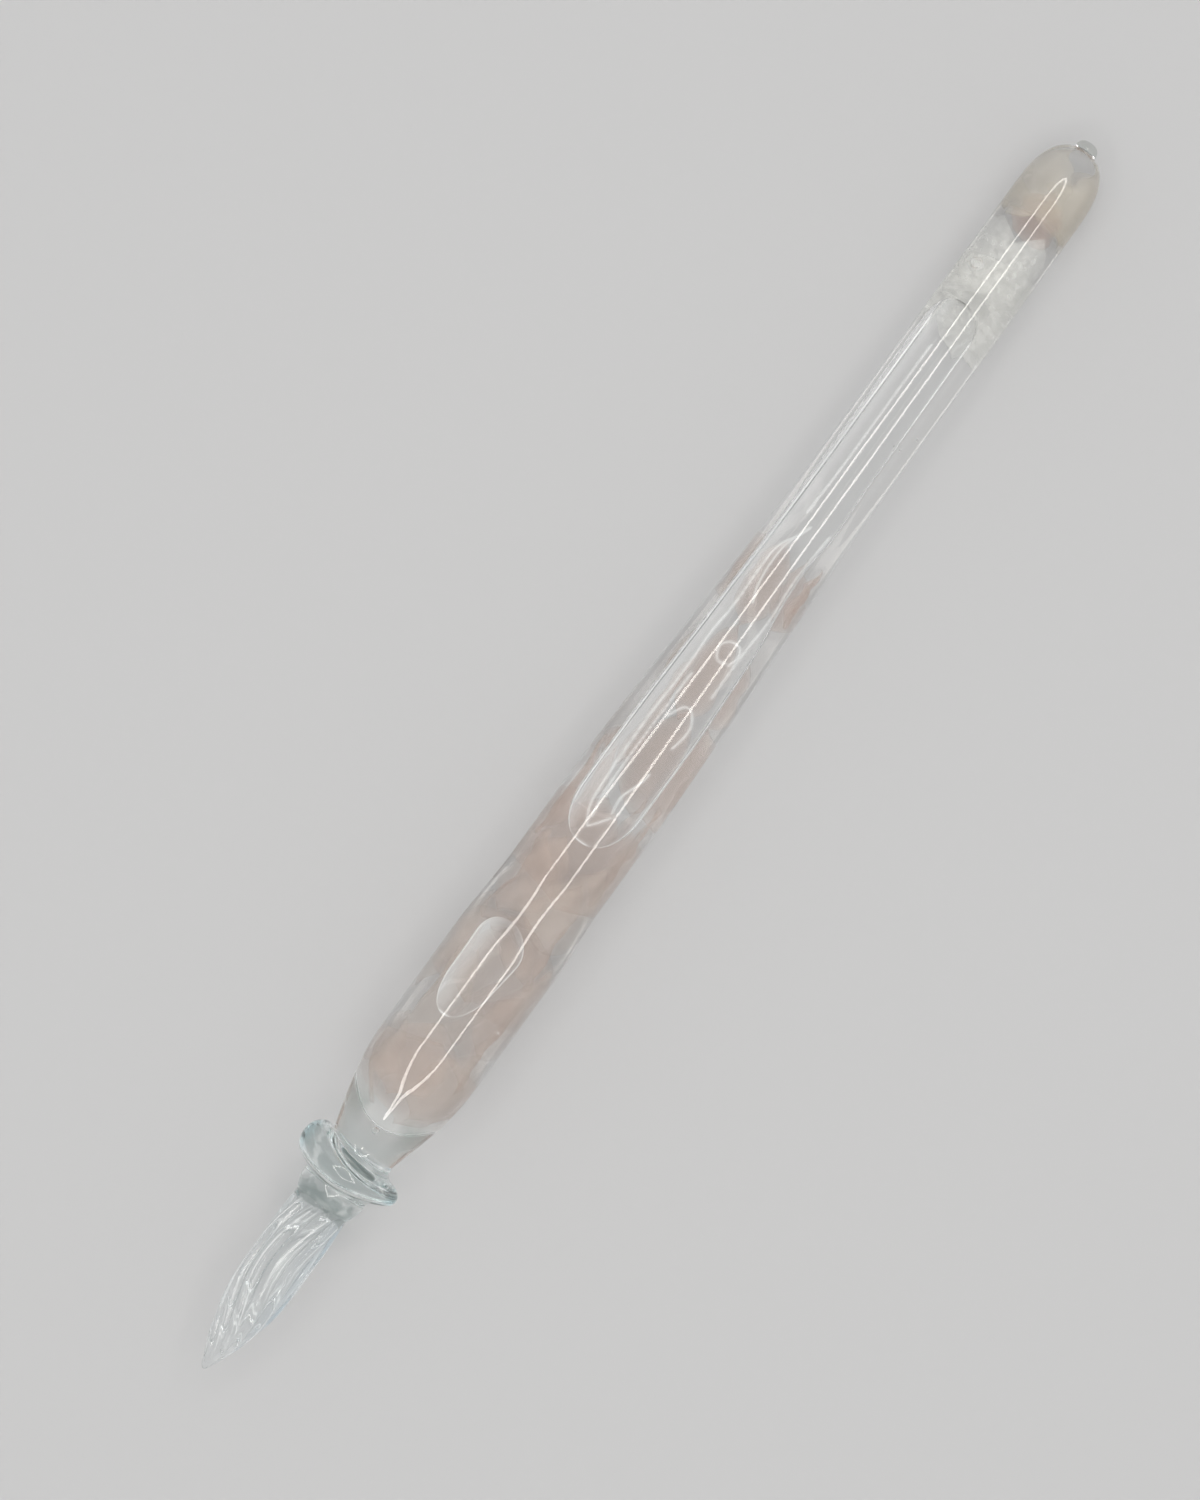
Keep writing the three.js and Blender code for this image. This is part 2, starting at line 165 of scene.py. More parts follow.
# %% [markdown]
# Laying the pen on the desk
#
# The pen is thicker at its belly than at its tail, so on a desk its axis tips. The frame already has it
# lying down. Two of its round nodes give the axis back: the middle of the gather's box and of the tail
# seal's box both lie on it. Everything below is made in the pen's own frame, and one function lays it down.

# %% From the pen's own frame to the desk
gather_low, gather_high = (np.array(corner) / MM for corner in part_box("nib_gather"))
seal_low, seal_high = (np.array(corner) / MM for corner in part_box("tail_seal"))
gather_x = GATHER_START + GATHER_LENGTH / 2
drop = (gather_low[2] + gather_high[2] - seal_low[2] - seal_high[2]) / 2
seal_x = TUBE_END + 0.15  # about 0.1 mm past the middle of the seal's box, which tips it under 0.001 degrees
REST_TILT = math.asin(drop / (seal_x - gather_x))
AXIS_HEIGHT = (gather_low[2] + gather_high[2]) / 2 + gather_x * math.sin(REST_TILT)
AXIS_START = (gather_low[0] + gather_high[0]) / 2 - gather_x * math.cos(REST_TILT)
print("the axis drops by", round(math.degrees(REST_TILT), 3), "degrees; the point is", AXIS_HEIGHT, "mm up")


def laid_down(points):
    """Points in the pen's own frame, in millimetres, as points on the desk, in metres."""
    points = np.asarray(points, float)
    x, y, z = points[..., 0], points[..., 1], points[..., 2]
    cos, sin = math.cos(REST_TILT), math.sin(REST_TILT)
    desk = np.stack([AXIS_START + x * cos + z * sin, y, AXIS_HEIGHT - x * sin + z * cos], axis=-1)
    return desk * MM


def around(x, radius, angle):
    """Points at x along the axis, at a radius, and at an angle from the top towards -y."""
    x, radius, angle = np.broadcast_arrays(x, radius, angle)
    return np.stack([x, -radius * np.sin(angle), radius * np.cos(angle)], axis=-1)


# %% [markdown]
# Meshes from rings
#
# Nearly every piece here is a skin over rings of points: a nib, a bead, a tube, a bubble. One helper
# joins ring to ring with quads, closes the two ends with a fan, and gives each ring's faces a material
# number, because a fused joint, a wetted wall and a free surface bend light in different ways.


# %% A closed skin over rings
def skin(rings, marks=None, looped=False):
    """Vertices and (faces, material numbers) of a skin over rings, an array of rings, points, x y z."""
    rings = np.asarray(rings, float)
    count, around_it = rings.shape[:2]
    marks = [0] * (count + 1) if marks is None else list(marks)
    points = rings.reshape(-1, 3)
    faces, numbers = [], []
    steps = np.arange(around_it)
    after = (steps + 1) % around_it
    for k in range(count if looped else count - 1):
        here, there = k * around_it, ((k + 1) % count) * around_it
        quads = np.stack([here + steps, here + after, there + after, there + steps], axis=1)
        faces.extend(quads.tolist())
        numbers.extend([marks[k + 1]] * around_it)
    if not looped:
        centres = np.stack([rings[0].mean(0), rings[-1].mean(0)])
        points = np.concatenate([points, centres])
        first, last = count * around_it, (count - 1) * around_it
        for i, j in zip(steps.tolist(), after.tolist()):
            faces.append([first, j, i])
            faces.append([first + 1, last + i, last + j])
            numbers.extend([marks[0], marks[-1]])
    return points, faces, numbers


def sharpen_between_materials(mesh):
    """Marks the edges where two materials meet as sharp, so that each side keeps its own smooth normals."""
    sizes = np.array([len(face.vertices) for face in mesh.polygons])
    owners = np.repeat([face.material_index for face in mesh.polygons], sizes)
    edges = np.empty(len(mesh.loops), dtype=np.int32)
    mesh.loops.foreach_get("edge_index", edges)
    low, high = np.full(len(mesh.edges), 99), np.full(len(mesh.edges), -1)
    np.minimum.at(low, edges, owners)
    np.maximum.at(high, edges, owners)
    mesh.edges.foreach_set("use_edge_sharp", low != high)


def piece(name, points, faces, numbers, materials, slot, node=None):
    """Makes a mesh piece, lays it down, and hides the frame's own mesh of that part."""
    mesh = bpy.data.meshes.new(name)
    mesh.from_pydata(laid_down(points).tolist(), [], faces)
    for material in materials:
        mesh.materials.append(material)
    mesh.polygons.foreach_set("material_index", np.array(numbers, dtype=np.int32))
    mesh.polygons.foreach_set("use_smooth", np.full(len(faces), True))
    mesh.update()
    sharpen_between_materials(mesh)
    made = bpy.data.objects.new(name, mesh)
    bpy.context.scene.collection.objects.link(made)
    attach(made, "root")
    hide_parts(node or name)
    print(name, "has", len(faces), "faces")
    return made


def paint(made, name, amounts):
    """Gives each point of a piece an amount, which its material can ask for by name."""
    values = made.data.attributes.new(name, "FLOAT", "POINT")
    values.data.foreach_set("value", np.asarray(amounts, dtype=np.float32))


def turned(profile, sides=96):
    """Rings of a solid of revolution about the axis, from profile points (x, radius)."""
    angles = np.linspace(0, 2 * math.pi, sides, endpoint=False)
    profile = np.asarray(profile, float)
    return around(profile[:, 0, None], profile[:, 1, None], angles[None, :])


# %% [markdown]
# Shader sums as Python sums
#
# A material's maths reads best as maths. This class wraps one output socket, and an operator between two
# of them, or one and a number, adds a Math node to the same material. Any other node comes from one
# method that takes the node's type, its settings and what goes into its sockets.


# %% A small class for shader maths
class Wire:
    """One output socket of a material, on which sums add Math nodes."""

    def __init__(self, socket):
        self.socket = socket

    def node(self, kind, settings=None, **inputs):
        return add_node(self.socket.id_data, kind, settings, **inputs)

    def sum(self, operation, first, second=0.0, clamp=False):
        settings = {"operation": operation, "use_clamp": clamp}
        return self.node("ShaderNodeMath", settings, i0=first, i1=second).out()

    def __add__(self, other):
        return self.sum("ADD", self, other)

    def __sub__(self, other):
        return self.sum("SUBTRACT", self, other)

    def __rsub__(self, other):
        return self.sum("SUBTRACT", other, self)

    def __mul__(self, other):
        return self.sum("MULTIPLY", self, other)

    def __pow__(self, other):
        return self.sum("POWER", self, other)

    __radd__ = __add__
    __rmul__ = __mul__

    def clamped(self):
        return self.sum("ADD", self, 0.0, clamp=True)


class Node:
    """A node of a material, whose outputs are wires."""

    def __init__(self, node):
        self.node = node

    def out(self, name=0):
        return Wire(self.node.outputs[name])


def add_node(tree, kind, settings=None, **inputs):
    """A node of that kind. Settings come first; an input is named, or i0, i1 for its number."""
    node = tree.nodes.new(kind)
    for name, value in (settings or {}).items():
        if name == "stops":
            set_stops(node.color_ramp, value)
        else:
            setattr(node, name, value)
    for name, value in inputs.items():
        key = int(name[1:]) if name[0] == "i" and name[1:].isdigit() else name.replace("_", " ")
        socket = node.inputs[key]
        if isinstance(value, Wire):
            tree.links.new(value.socket, socket)
        else:
            socket.default_value = value
    return Node(node)


def set_stops(ramp, stops):
    while len(ramp.elements) < len(stops):
        ramp.elements.new(0.5)
    for element, (place, colour) in zip(ramp.elements, stops):
        element.position = place
        element.color = (*colour, 1) if len(colour) == 3 else colour


# %% Colours as a paint chart gives them
def from_chart(red, green, blue):
    """A colour of 0 to 255 as the linear light that a shader works in."""
    def channel(value):
        value = value / 255
        return value / 12.92 if value <= 0.04045 else ((value + 0.055) / 1.055) ** 2.4
    return (channel(red), channel(green), channel(blue))


def new_material(name):
    material = bpy.data.materials.new(name)
    material.use_nodes = True
    tree = material.node_tree
    tree.nodes.clear()
    output = tree.nodes.new("ShaderNodeOutputMaterial")
    return material, tree, output


# %% [markdown]
# The surfaces of glass
#
# Light bends only where one clear thing ends and another begins, and there are four kinds of such places.
# From air into glass it bends strongly. From glass into oil it hardly bends, because the oil was chosen
# to match. At a bubble it bends strongly again. And at a fused joint there is nothing to bend at, since
# both sides are one glass. Each kind is a material of its own.
#
# A lamp's light can't be traced back through curved glass by a straight shadow ray, so shadow rays pass,
# and what the glass takes from them is a plain share. That keeps the shadow on the desk soft and light.


# %% A surface that bends light, and a joint that doesn't
def absorb(tree, output, colour, density):
    """Makes what lies behind a surface take up light of the other colours."""
    volume = add_node(tree, "ShaderNodeVolumeAbsorption", Color=(*colour, 1), Density=density)
    tree.links.new(volume.out().socket, output.inputs["Volume"])


def clear_surface(name, ior, tint=(1, 1, 1), shade=1.0, rim_shade=None, absorbing=None, roughness=0.0,
                  coat=0.0, sheen=0.0, sheen_roughness=0.25, tint_from=None, film_from=None):
    """A surface that bends light by ior. Its tint is one colour, or a function that makes a wire of it.

    A film is painted light, a white layer that glows a little. A function makes the wire of how dense it is.

    A lamp's light goes straight through it: shade of it where the surface faces the lamp, and rim_shade
    where the surface is edge-on, since that is where real glass throws the light aside.
    """
    material, tree, output = new_material(name)
    bsdf = add_node(tree, "ShaderNodeBsdfPrincipled", Base_Color=(*tint, 1), Roughness=roughness, IOR=ior,
                    Transmission_Weight=1.0, Coat_Weight=coat, Coat_Roughness=0.11,
                    Sheen_Weight=sheen, Sheen_Roughness=sheen_roughness)
    if tint_from is not None:
        tree.links.new(tint_from(tree).socket, bsdf.node.inputs["Base Color"])
    ray = add_node(tree, "ShaderNodeLightPath")

    def lit_through(amount):
        passed = add_node(tree, "ShaderNodeBsdfTransparent", Color=(amount, amount, amount, 1))
        mixed = add_node(tree, "ShaderNodeMixShader", i0=ray.out("Is Diffuse Ray"), i1=bsdf.out(),
                         i2=passed.out())
        return add_node(tree, "ShaderNodeMixShader", i0=ray.out("Is Shadow Ray"), i1=mixed.out(),
                        i2=passed.out())

    surface = lit_through(shade)
    if rim_shade is not None:
        edge_on = add_node(tree, "ShaderNodeLayerWeight", Blend=0.5).out("Facing")
        surface = add_node(tree, "ShaderNodeMixShader", i0=edge_on**2.0, i1=surface.out(),
                           i2=lit_through(rim_shade).out())
    if film_from is not None:
        # The film is painted light: white that glows a little.
        white = add_node(tree, "ShaderNodeBsdfPrincipled", Base_Color=(0.88, 0.89, 0.88, 1), Roughness=0.7,
                         Specular_IOR_Level=0.0, Emission_Color=(1, 1, 1, 1), Emission_Strength=0.3)
        surface = add_node(tree, "ShaderNodeMixShader", i0=film_from(tree), i1=surface.out(), i2=white.out())
    tree.links.new(surface.out().socket, output.inputs["Surface"])
    if absorbing is not None:
        absorb(tree, output, *absorbing)
    return material


def joint_surface(name, absorbing=None):
    """A surface with the same clear stuff on both sides: light goes straight on."""
    material, tree, output = new_material(name)
    passed = add_node(tree, "ShaderNodeBsdfTransparent", Color=(1, 1, 1, 1))
    tree.links.new(passed.out().socket, output.inputs["Surface"])
    if absorbing is not None:
        absorb(tree, output, *absorbing)
    return material


# %% [markdown]
# Painted shade and painted light, where clear glass alone falls short
#
# The photo shows grey, blue and white in the glass, and doesn't tell what makes them. Bending light doesn't
# bring them back here, so they are painted in: grey and blue as painted shade in the tint, white as painted
# light in thin white films that glow a little. They are stand-ins, not what glass does. So are the nib, which
# bends light far less than real glass, and the cup, which bends it a little more than glass against oil.

# %% How strongly each thing bends light, and the collar's colour
GLASS_IOR = 1.50
OIL_IOR = 1.482
NIB_IOR = 1.18
CUP_IOR = 1.04
AQUA = ((0.62, 0.82, 0.80), 9.0)
print("glass against oil bends light by", round(GLASS_IOR / OIL_IOR, 3))


# %% Helpers for tints
def place_on(tree):
    """Where a point of the surface lies: its place, and how far that is along the desk and across it."""
    place = add_node(tree, "ShaderNodeTexCoord").out("Object")
    split = add_node(tree, "ShaderNodeSeparateXYZ", Vector=place)
    return place, split.out("X"), split.out("Y")


def painted(tree, name):
    """The amount that the mesh was painted with under that name."""
    return add_node(tree, "ShaderNodeAttribute", {"attribute_name": name}).out("Fac")


def mixed_colour(factor, first, second):
    """The colour that lies between two, given as wires or plain colours."""
    mix = factor.node("ShaderNodeMix", {"data_type": "RGBA"}, i0=factor, i6=first, i7=second)
    return mix.out(2)


def ramped(wire, low, high):
    """How far a wire has gone from low to high, from 0 to 1, with soft ends."""
    settings = {"interpolation_type": "SMOOTHSTEP"}
    return wire.node("ShaderNodeMapRange", settings, Value=wire, From_Min=low, From_Max=high).out()


def ruffled_shade_band(tree, start, end):
    """A ruffled band of painted shade where the grooves run out. It lies between two places along the pen."""
    place, along, _ = place_on(tree)
    ruffle = add_node(tree, "ShaderNodeTexNoise", Vector=place, Scale=620.0, Detail=1.5).out(0)
    band_at = along + (ruffle - 0.5) * (3.0 * MM)
    begin, finish = (laid_down([x, 0, 0])[0] for x in (start, end))
    return (ramped(band_at, begin, begin + 0.3 * MM) - ramped(band_at, finish, finish + 0.5 * MM)).clamped()


# %% The glass of the collar and the gather
def aqua_painted_shade(tree):
    """Painted shade: a deeper blue-green at the collar's two sides, a grey ruffled band at the nib's root."""
    _, _, across = place_on(tree)
    rim = ramped((across * across) ** 0.5, 4.9 * MM, 6.6 * MM)
    ringed = mixed_colour(rim, (1.0, 1.0, 1.0, 1), (0.50, 0.73, 0.79, 1))
    band = ruffled_shade_band(tree, GATHER_START - 0.7, GATHER_START + 1.4)
    return mixed_colour(band, ringed, (0.60, 0.65, 0.64, 1))


def painted_pale_streaks(tree):
    """Thin pale streaks of painted light across the collar, as a glowing white film."""
    place, _, across = place_on(tree)
    drawn_out = add_node(tree, "ShaderNodeMapping", Vector=place, Scale=(1.0, 0.22, 1.0))
    streak = add_node(tree, "ShaderNodeTexNoise", Vector=drawn_out.out(), Scale=900.0, Detail=2.0).out(0)
    inner = 1 - ramped((across * across) ** 0.5, 4.6 * MM, 6.0 * MM)
    return ramped(streak, 0.48, 0.72) * inner * 0.2


# %% The glass of the tube and the seal
def painted_edge_shade(tree):
    """Painted shade: a dark line along one side of the belly, where the mesh is painted so."""
    return mixed_colour(painted(tree, "smoke"), (0.995, 0.995, 0.99, 1), (0.40, 0.34, 0.31, 1))


# The tube's glass carries a dark line of painted shade along one side of the belly.
clear_glass = clear_surface("clear_glass", GLASS_IOR, shade=1.0, rim_shade=0.2, tint_from=painted_edge_shade)
# The seal's grey tint is painted shade, which darkens its head.
drop_glass = clear_surface("drop_glass", GLASS_IOR, (0.84, 0.86, 0.84), shade=0.9, rim_shade=0.3)


# %% The glass of the shoulder
def shoulder_painted_shade(tree):
    """Painted shade: grey along both sides of the solid shoulder, clear in its middle, where the light
    gathers.
    """
    place, along, across = place_on(tree)
    cloud = add_node(tree, "ShaderNodeTexNoise", Vector=place, Scale=260.0, Detail=1.0).out(0)
    aside = (across * across) ** 0.5 + (cloud - 0.5) * (1.6 * MM)
    start = laid_down([SHOULDER_START, 0, 0])[0]
    end = laid_down([TUBE_START, 0, 0])[0]
    rising = ramped(along + (cloud - 0.5) * (2.0 * MM), start + 0.6 * MM, start + 4.5 * MM) * 0.8 + 0.2
    rising = rising * (1 - ramped(along, end - 4.2 * MM, end - 1.4 * MM))
    grey = (ramped(aside, 1.5 * MM, 3.0 * MM) - ramped(aside, 4.9 * MM, 5.7 * MM) * 0.5) * rising
    return mixed_colour(grey.clamped(), (1.0, 1.0, 0.99, 1), (0.56, 0.61, 0.58, 1))


# The shoulder's glass is tinted with painted shade along its sides.
solid_glass = clear_surface("solid_glass", GLASS_IOR, shade=0.98, rim_shade=0.7, sheen=0.5,
                            tint_from=shoulder_painted_shade)
# The collar's glass: painted shade in its tint, pale streaks of painted light in its film.
aqua_glass = clear_surface("aqua_glass", GLASS_IOR, shade=0.98, rim_shade=0.8,
                           sheen=0.2, absorbing=AQUA, tint_from=aqua_painted_shade, film_from=painted_pale_streaks)


# %% The glass of the nib
def nib_painted_shade(tree):
    """Painted shade: grey lines in the grooves' floors, a bluish side, and a grey ruffled band at the root.
    """
    _, _, across = place_on(tree)
    side = ramped(-1 * across, 1.0 * MM, 3.4 * MM)
    plain = mixed_colour(side, (0.97, 0.985, 0.99, 1), (0.88, 0.94, 0.98, 1))
    lined = mixed_colour(painted(tree, "groove"), plain, (0.46, 0.50, 0.51, 1))
    return mixed_colour(ruffled_shade_band(tree, NIB_LENGTH - 0.7, NIB_LENGTH + 1.4), lined, (0.54, 0.59, 0.58, 1))


def painted_ridge_highlights(tree):
    """Painted highlights: white streaks along the ridges, as a glowing film."""
    return painted(tree, "ridge").clamped()


# The nib's glass: painted shade in its tint, painted highlights in its film.
nib_glass = clear_surface("nib_glass", NIB_IOR, shade=0.95, rim_shade=0.5, absorbing=AQUA, roughness=0.14,
                          coat=0.7, sheen=0.5, tint_from=nib_painted_shade, film_from=painted_ridge_highlights)
wetted_wall = clear_surface("wetted_wall", GLASS_IOR / OIL_IOR)


# %% Where glass meets oil, and where oil meets air
def cup_painted_glow(tree):
    """A pale band of painted light round the bottom of the cup, as a glowing film."""
    place, along, _ = place_on(tree)
    cloud = add_node(tree, "ShaderNodeTexNoise", Vector=place, Scale=420.0, Detail=2.0).out(0)
    band_end = laid_down([CUP_BOTTOM + 1.2, 0, 0])[0]
    return (1 - ramped(along + (cloud - 0.5) * (2.4 * MM), band_end, band_end + 3.2 * MM)) * 0.07


# The cup carries a pale band of painted light.
wetted_cup = clear_surface("wetted_cup", CUP_IOR, sheen=0.5, sheen_roughness=0.5, film_from=cup_painted_glow)


def painted_glow_and_haze(tree):
    """Painted light: bright lines where the mesh is painted so, and a pale haze on the two sides of a bubble.
    """
    _, _, across = place_on(tree)
    side_haze = ramped(across, 1.2 * MM, 3.4 * MM) * 0.11 + ramped(-1 * across, 2.4 * MM, 4.0 * MM) * 0.06
    return (painted(tree, "foam") + side_haze).clamped()


def end_shadow(tree):
    """The thin dark arc at the end of the long bubble."""
    return mixed_colour(painted(tree, "arc"), (1.0, 1.0, 1.0, 1), (0.30, 0.31, 0.30, 1))


# The bubbles carry painted highlights and a pale haze of painted light.
oil_surface = clear_surface("oil_surface", OIL_IOR, sheen=0.4, tint_from=end_shadow, film_from=painted_glow_and_haze)
fused_joint = joint_surface("fused_joint")
aqua_joint = joint_surface("aqua_joint", AQUA)
oil_against_glass = joint_surface("oil_against_glass")
print("made", len(bpy.data.materials), "materials so far")

# %% [markdown]
# The nib
#
# The worker presses grooves into a hot rod, twists it one way, then back, and draws it to a point. The
# grooves hold the ink. As a mesh it is a stack of lobed rings, and each ring is turned a little against
# the last. A lofted curve could do it too, but rings give every groove its own depth and keep the quads
# along the swirl, where the highlights run.


# %% The nib as a stack of lobed rings
def nib_envelope(x):
    t = share(x, 0, NIB_POINT_LENGTH)
    root = ease(share(x, NIB_LENGTH - NIB_ROOT_LENGTH, NIB_LENGTH))
    full = NIB_RADIUS + (NIB_ROOT_RADIUS - NIB_RADIUS) * root
    return NIB_POINT_RADIUS + (full - NIB_POINT_RADIUS) * (1 - (1 - t) ** 2)


def groove_angle(x):
    away = (x - SWIRL_CENTRE) / SWIRL_SPAN
    return math.radians(SWIRL_ANGLE) * (np.sqrt(1 + away * away) - 1)


def nib_rings():
    points_in_groove = 26
    point_round = 0.3
    groove_end = 1.3
    x = np.concatenate([point_round * (1 - np.cos(np.linspace(0.15, math.pi / 2, 8))),
                        np.linspace(point_round, NIB_LENGTH, 260)[1:]])[:, None]
    turn = np.linspace(0, 2 * math.pi, GROOVES * points_in_groove, endpoint=False)[None, :]
    envelope = nib_envelope(x) * np.sqrt(1 - (1 - share(x, 0, point_round)) ** 2)
    depth = GROOVE_DEPTH * np.minimum(1, (envelope / NIB_RADIUS) ** 1.4)
    depth = depth * (1 - ease(share(x, NIB_LENGTH - groove_end, NIB_LENGTH)))
    groove = (0.5 - 0.5 * np.cos(GROOVES * turn)) ** GROOVE_SHARPNESS
    return around(x, envelope - depth * groove, groove_angle(x) + turn)


# %% Painted highlights along the ridges, painted shade in the grooves
def line_at(phase, centre, width):
    """A soft line of a width at one phase of every groove."""
    away = np.abs((phase - centre + 0.5) % 1 - 0.5)
    return np.exp(-((away / width) ** 2))


def painted_streaks_on(rings):
    """The ridges' painted highlights and the grooves' lines of painted shade, at each point of the nib."""
    random = np.random.default_rng(8)
    columns = np.arange(rings.shape[1])
    per_groove = rings.shape[1] // GROOVES
    phase = (columns % per_groove) / per_groove
    start = random.uniform(0, 6.3, (3, GROOVES))[:, columns // per_groove]
    x = rings[:, :1, 0]
    rise = ease(share(x, 0.6, 5)) * (1 - ease(share(x, NIB_LENGTH - 1.6, NIB_LENGTH - 0.3)))
    crest = line_at(phase, 0.0, 0.06) * (0.24 + 0.22 * np.sin(0.31 * x + start[0]))
    flank = line_at(phase, 0.27, 0.045) * (0.17 + 0.17 * np.sin(0.42 * x + start[1]))
    groove = line_at(phase, 0.5, 0.06) * (0.6 + 0.4 * np.sin(0.37 * x + start[2]))
    return rise * np.maximum(crest, flank), rise * groove


rings = nib_rings()
marks = [0] * len(rings) + [1]
nib = piece("nib_fluted", *skin(rings, marks), [nib_glass, aqua_joint], "aqua_glass", "nib")
# The nib is painted with highlights on its ridges and shade in its grooves.
for name, amount in zip(("ridge", "groove"), painted_streaks_on(rings)):
    paint(nib, name, np.append(amount.ravel(), [0, 0]))

# %% [markdown]
# The gather and the collar
#
# The gather is a soft bead, and the collar a disc that was pressed while hot, thicker on one side. Where
# they are fused, the glass runs from one to the next in a fillet, so both outlines start and end at a
# common radius. The cut between the two is only in the mesh: it has the joint material, and can't be seen.

# %% The gather and the pressed collar
def gather_rings():
    x = np.linspace(GATHER_START, COLLAR_START, 40)
    t = share(x, GATHER_START, COLLAR_START)
    flare = NIB_ROOT_RADIUS + (COLLAR_HUB_RADIUS - NIB_ROOT_RADIUS) * t**1.6
    bead = GATHER_BEAD * np.sin(math.pi * t) ** 0.8
    return turned(np.stack([x, flare + bead], axis=1))


def bend(first, corner, last, steps):
    """Points of a fillet: from first to last, drawn towards the corner."""
    t = np.linspace(0, 1, steps)[:, None]
    return (1 - t) ** 2 * first + 2 * t * (1 - t) * corner + t * t * last


def collar_rings(sides=128):
    angle = np.linspace(0, 2 * math.pi, sides, endpoint=False)
    side = (1 - np.sin(angle)) / 2
    rim_y = -COLLAR_RADIUS * np.sin(angle)
    nib_face = COLLAR_START + 0.1 + COLLAR_DISH * (rim_y - COLLAR_DISH_CENTRE) ** 2
    thickness = COLLAR_THIN_SIDE + (COLLAR_THICK_SIDE - COLLAR_THIN_SIDE) * side
    middle, half = nib_face + thickness / 2, thickness / 2
    v = np.linspace(-0.8, 0.8, 56)[:, None]
    rim_x = middle + half * np.sin(math.pi / 2 * v)
    hub = COLLAR_HUB_RADIUS + (NECK_RADIUS - COLLAR_HUB_RADIUS) * share(rim_x, COLLAR_START, SHOULDER_START)
    rim_radius = hub + (COLLAR_RADIUS - hub) * np.cos(math.pi / 2 * v) ** 0.85
    whole = np.ones(sides)
    nib_side = [bend(whole * a, b, c, 10) for a, b, c in (
        (COLLAR_START, nib_face, rim_x[0]), (COLLAR_HUB_RADIUS, hub[0], rim_radius[0]))]
    tail_side = [bend(a, b, whole * c, 10) for a, b, c in (
        (rim_x[-1], middle + half, SHOULDER_START), (rim_radius[-1], hub[-1], NECK_RADIUS))]
    x = np.concatenate([nib_side[0], rim_x[1:-1], tail_side[0]])
    radius = np.concatenate([nib_side[1], rim_radius[1:-1], tail_side[1]])
    return around(x, radius, angle[None, :])


rings = gather_rings()
piece("gather_bead", *skin(rings, [1] + [0] * (len(rings) - 1) + [1]), [aqua_glass, aqua_joint],
      "aqua_glass", "nib_gather")
rings = collar_rings()
piece("collar_disc", *skin(rings, [1] + [0] * (len(rings) - 1) + [1]), [aqua_glass, aqua_joint],
      "aqua_glass", "collar")

# %% [markdown]
# The shoulder and the tube
#
# The shoulder is solid glass with a round-bottomed cup in its tail face, where the bore begins. The tube
# carries the bore on to a round end, with a small hole that the oil went in by. Both are solids of
# revolution, and their outline runs along the outside, over the joint, and back along the inside.


# %% The shoulder and the tube
def shoulder_rings():
    outside = np.linspace(SHOULDER_START, TUBE_START, 60)
    cup = CUP_BOTTOM + (TUBE_START - CUP_BOTTOM) * np.linspace(1, 0.02, 50) ** 2
    x = np.concatenate([outside, cup])
    radius = np.concatenate([outer_radius(outside), bore_radius(cup)])
    marks = [1] + [0] * (len(outside) - 1) + [1] + [2] * len(cup)
    return turned(np.stack([x, radius], axis=1)), marks


def tube_rings():
    fine_end = TAIL_START + (TUBE_END - TAIL_START) * np.sin(np.linspace(0, math.pi / 2, 40))[1:-1]
    outside = np.concatenate([np.linspace(TUBE_START, TAIL_START, 260), fine_end])
    hole = np.array([[TUBE_END, FILL_HOLE_RADIUS], [BORE_END, FILL_HOLE_RADIUS]])
    outside = outside[outer_radius(outside) > FILL_HOLE_RADIUS]
    bore_dome = BORE_END - BORE_DOME_LENGTH
    inner_end = bore_dome + (BORE_END - bore_dome) * np.sin(np.linspace(0, math.pi / 2, 30))[1:-1]
    inside = np.concatenate([np.linspace(TUBE_START, bore_dome, 200), inner_end])
    inside = inside[bore_radius(inside) > FILL_HOLE_RADIUS]
    profile = np.concatenate([
        np.stack([outside, outer_radius(outside)], axis=1), hole,
        np.stack([inside, bore_radius(inside)], axis=1)[::-1],
    ])
    marks = [0] * (len(outside) + 1) + [1] + [2] * (len(inside)) + [1]
    return turned(profile), marks


def pip_rings():
    """The small round pip in the solid glass under the cup."""
    start, length, radius = CUP_BOTTOM - 0.95, 0.85, 0.42
    t = np.linspace(0, 1, 24)[1:-1]
    return turned(np.stack([start + length * t, radius * np.sqrt(t) * (1 - t**3) ** 0.5], axis=1), 32)


def joined(*skins):
    """One skin out of several. Each has its points, its faces and their material numbers."""
    points, faces, numbers = [], [], []
    for more, more_faces, more_numbers in skins:
        before = sum(len(p) for p in points)
        faces += [[i + before for i in face] for face in more_faces]
        numbers += more_numbers
        points.append(more)
    return np.concatenate(points), faces, numbers


def hollow(points, faces, numbers, number):
    """A closed skin turned inside out, as a hollow in a solid, with one material number."""
    return points, [face[::-1] for face in faces], [number] * len(faces)


rings, marks = shoulder_rings()
piece("shoulder_solid", *joined(skin(rings, marks), hollow(*skin(pip_rings()), 0)),
      [solid_glass, fused_joint, wetted_cup], "clear_glass", "shoulder")
rings, marks = tube_rings()
tube = piece("barrel_glass", *skin(rings, marks, looped=True), [clear_glass, fused_joint, wetted_wall],
             "clear_glass", "barrel_tube")

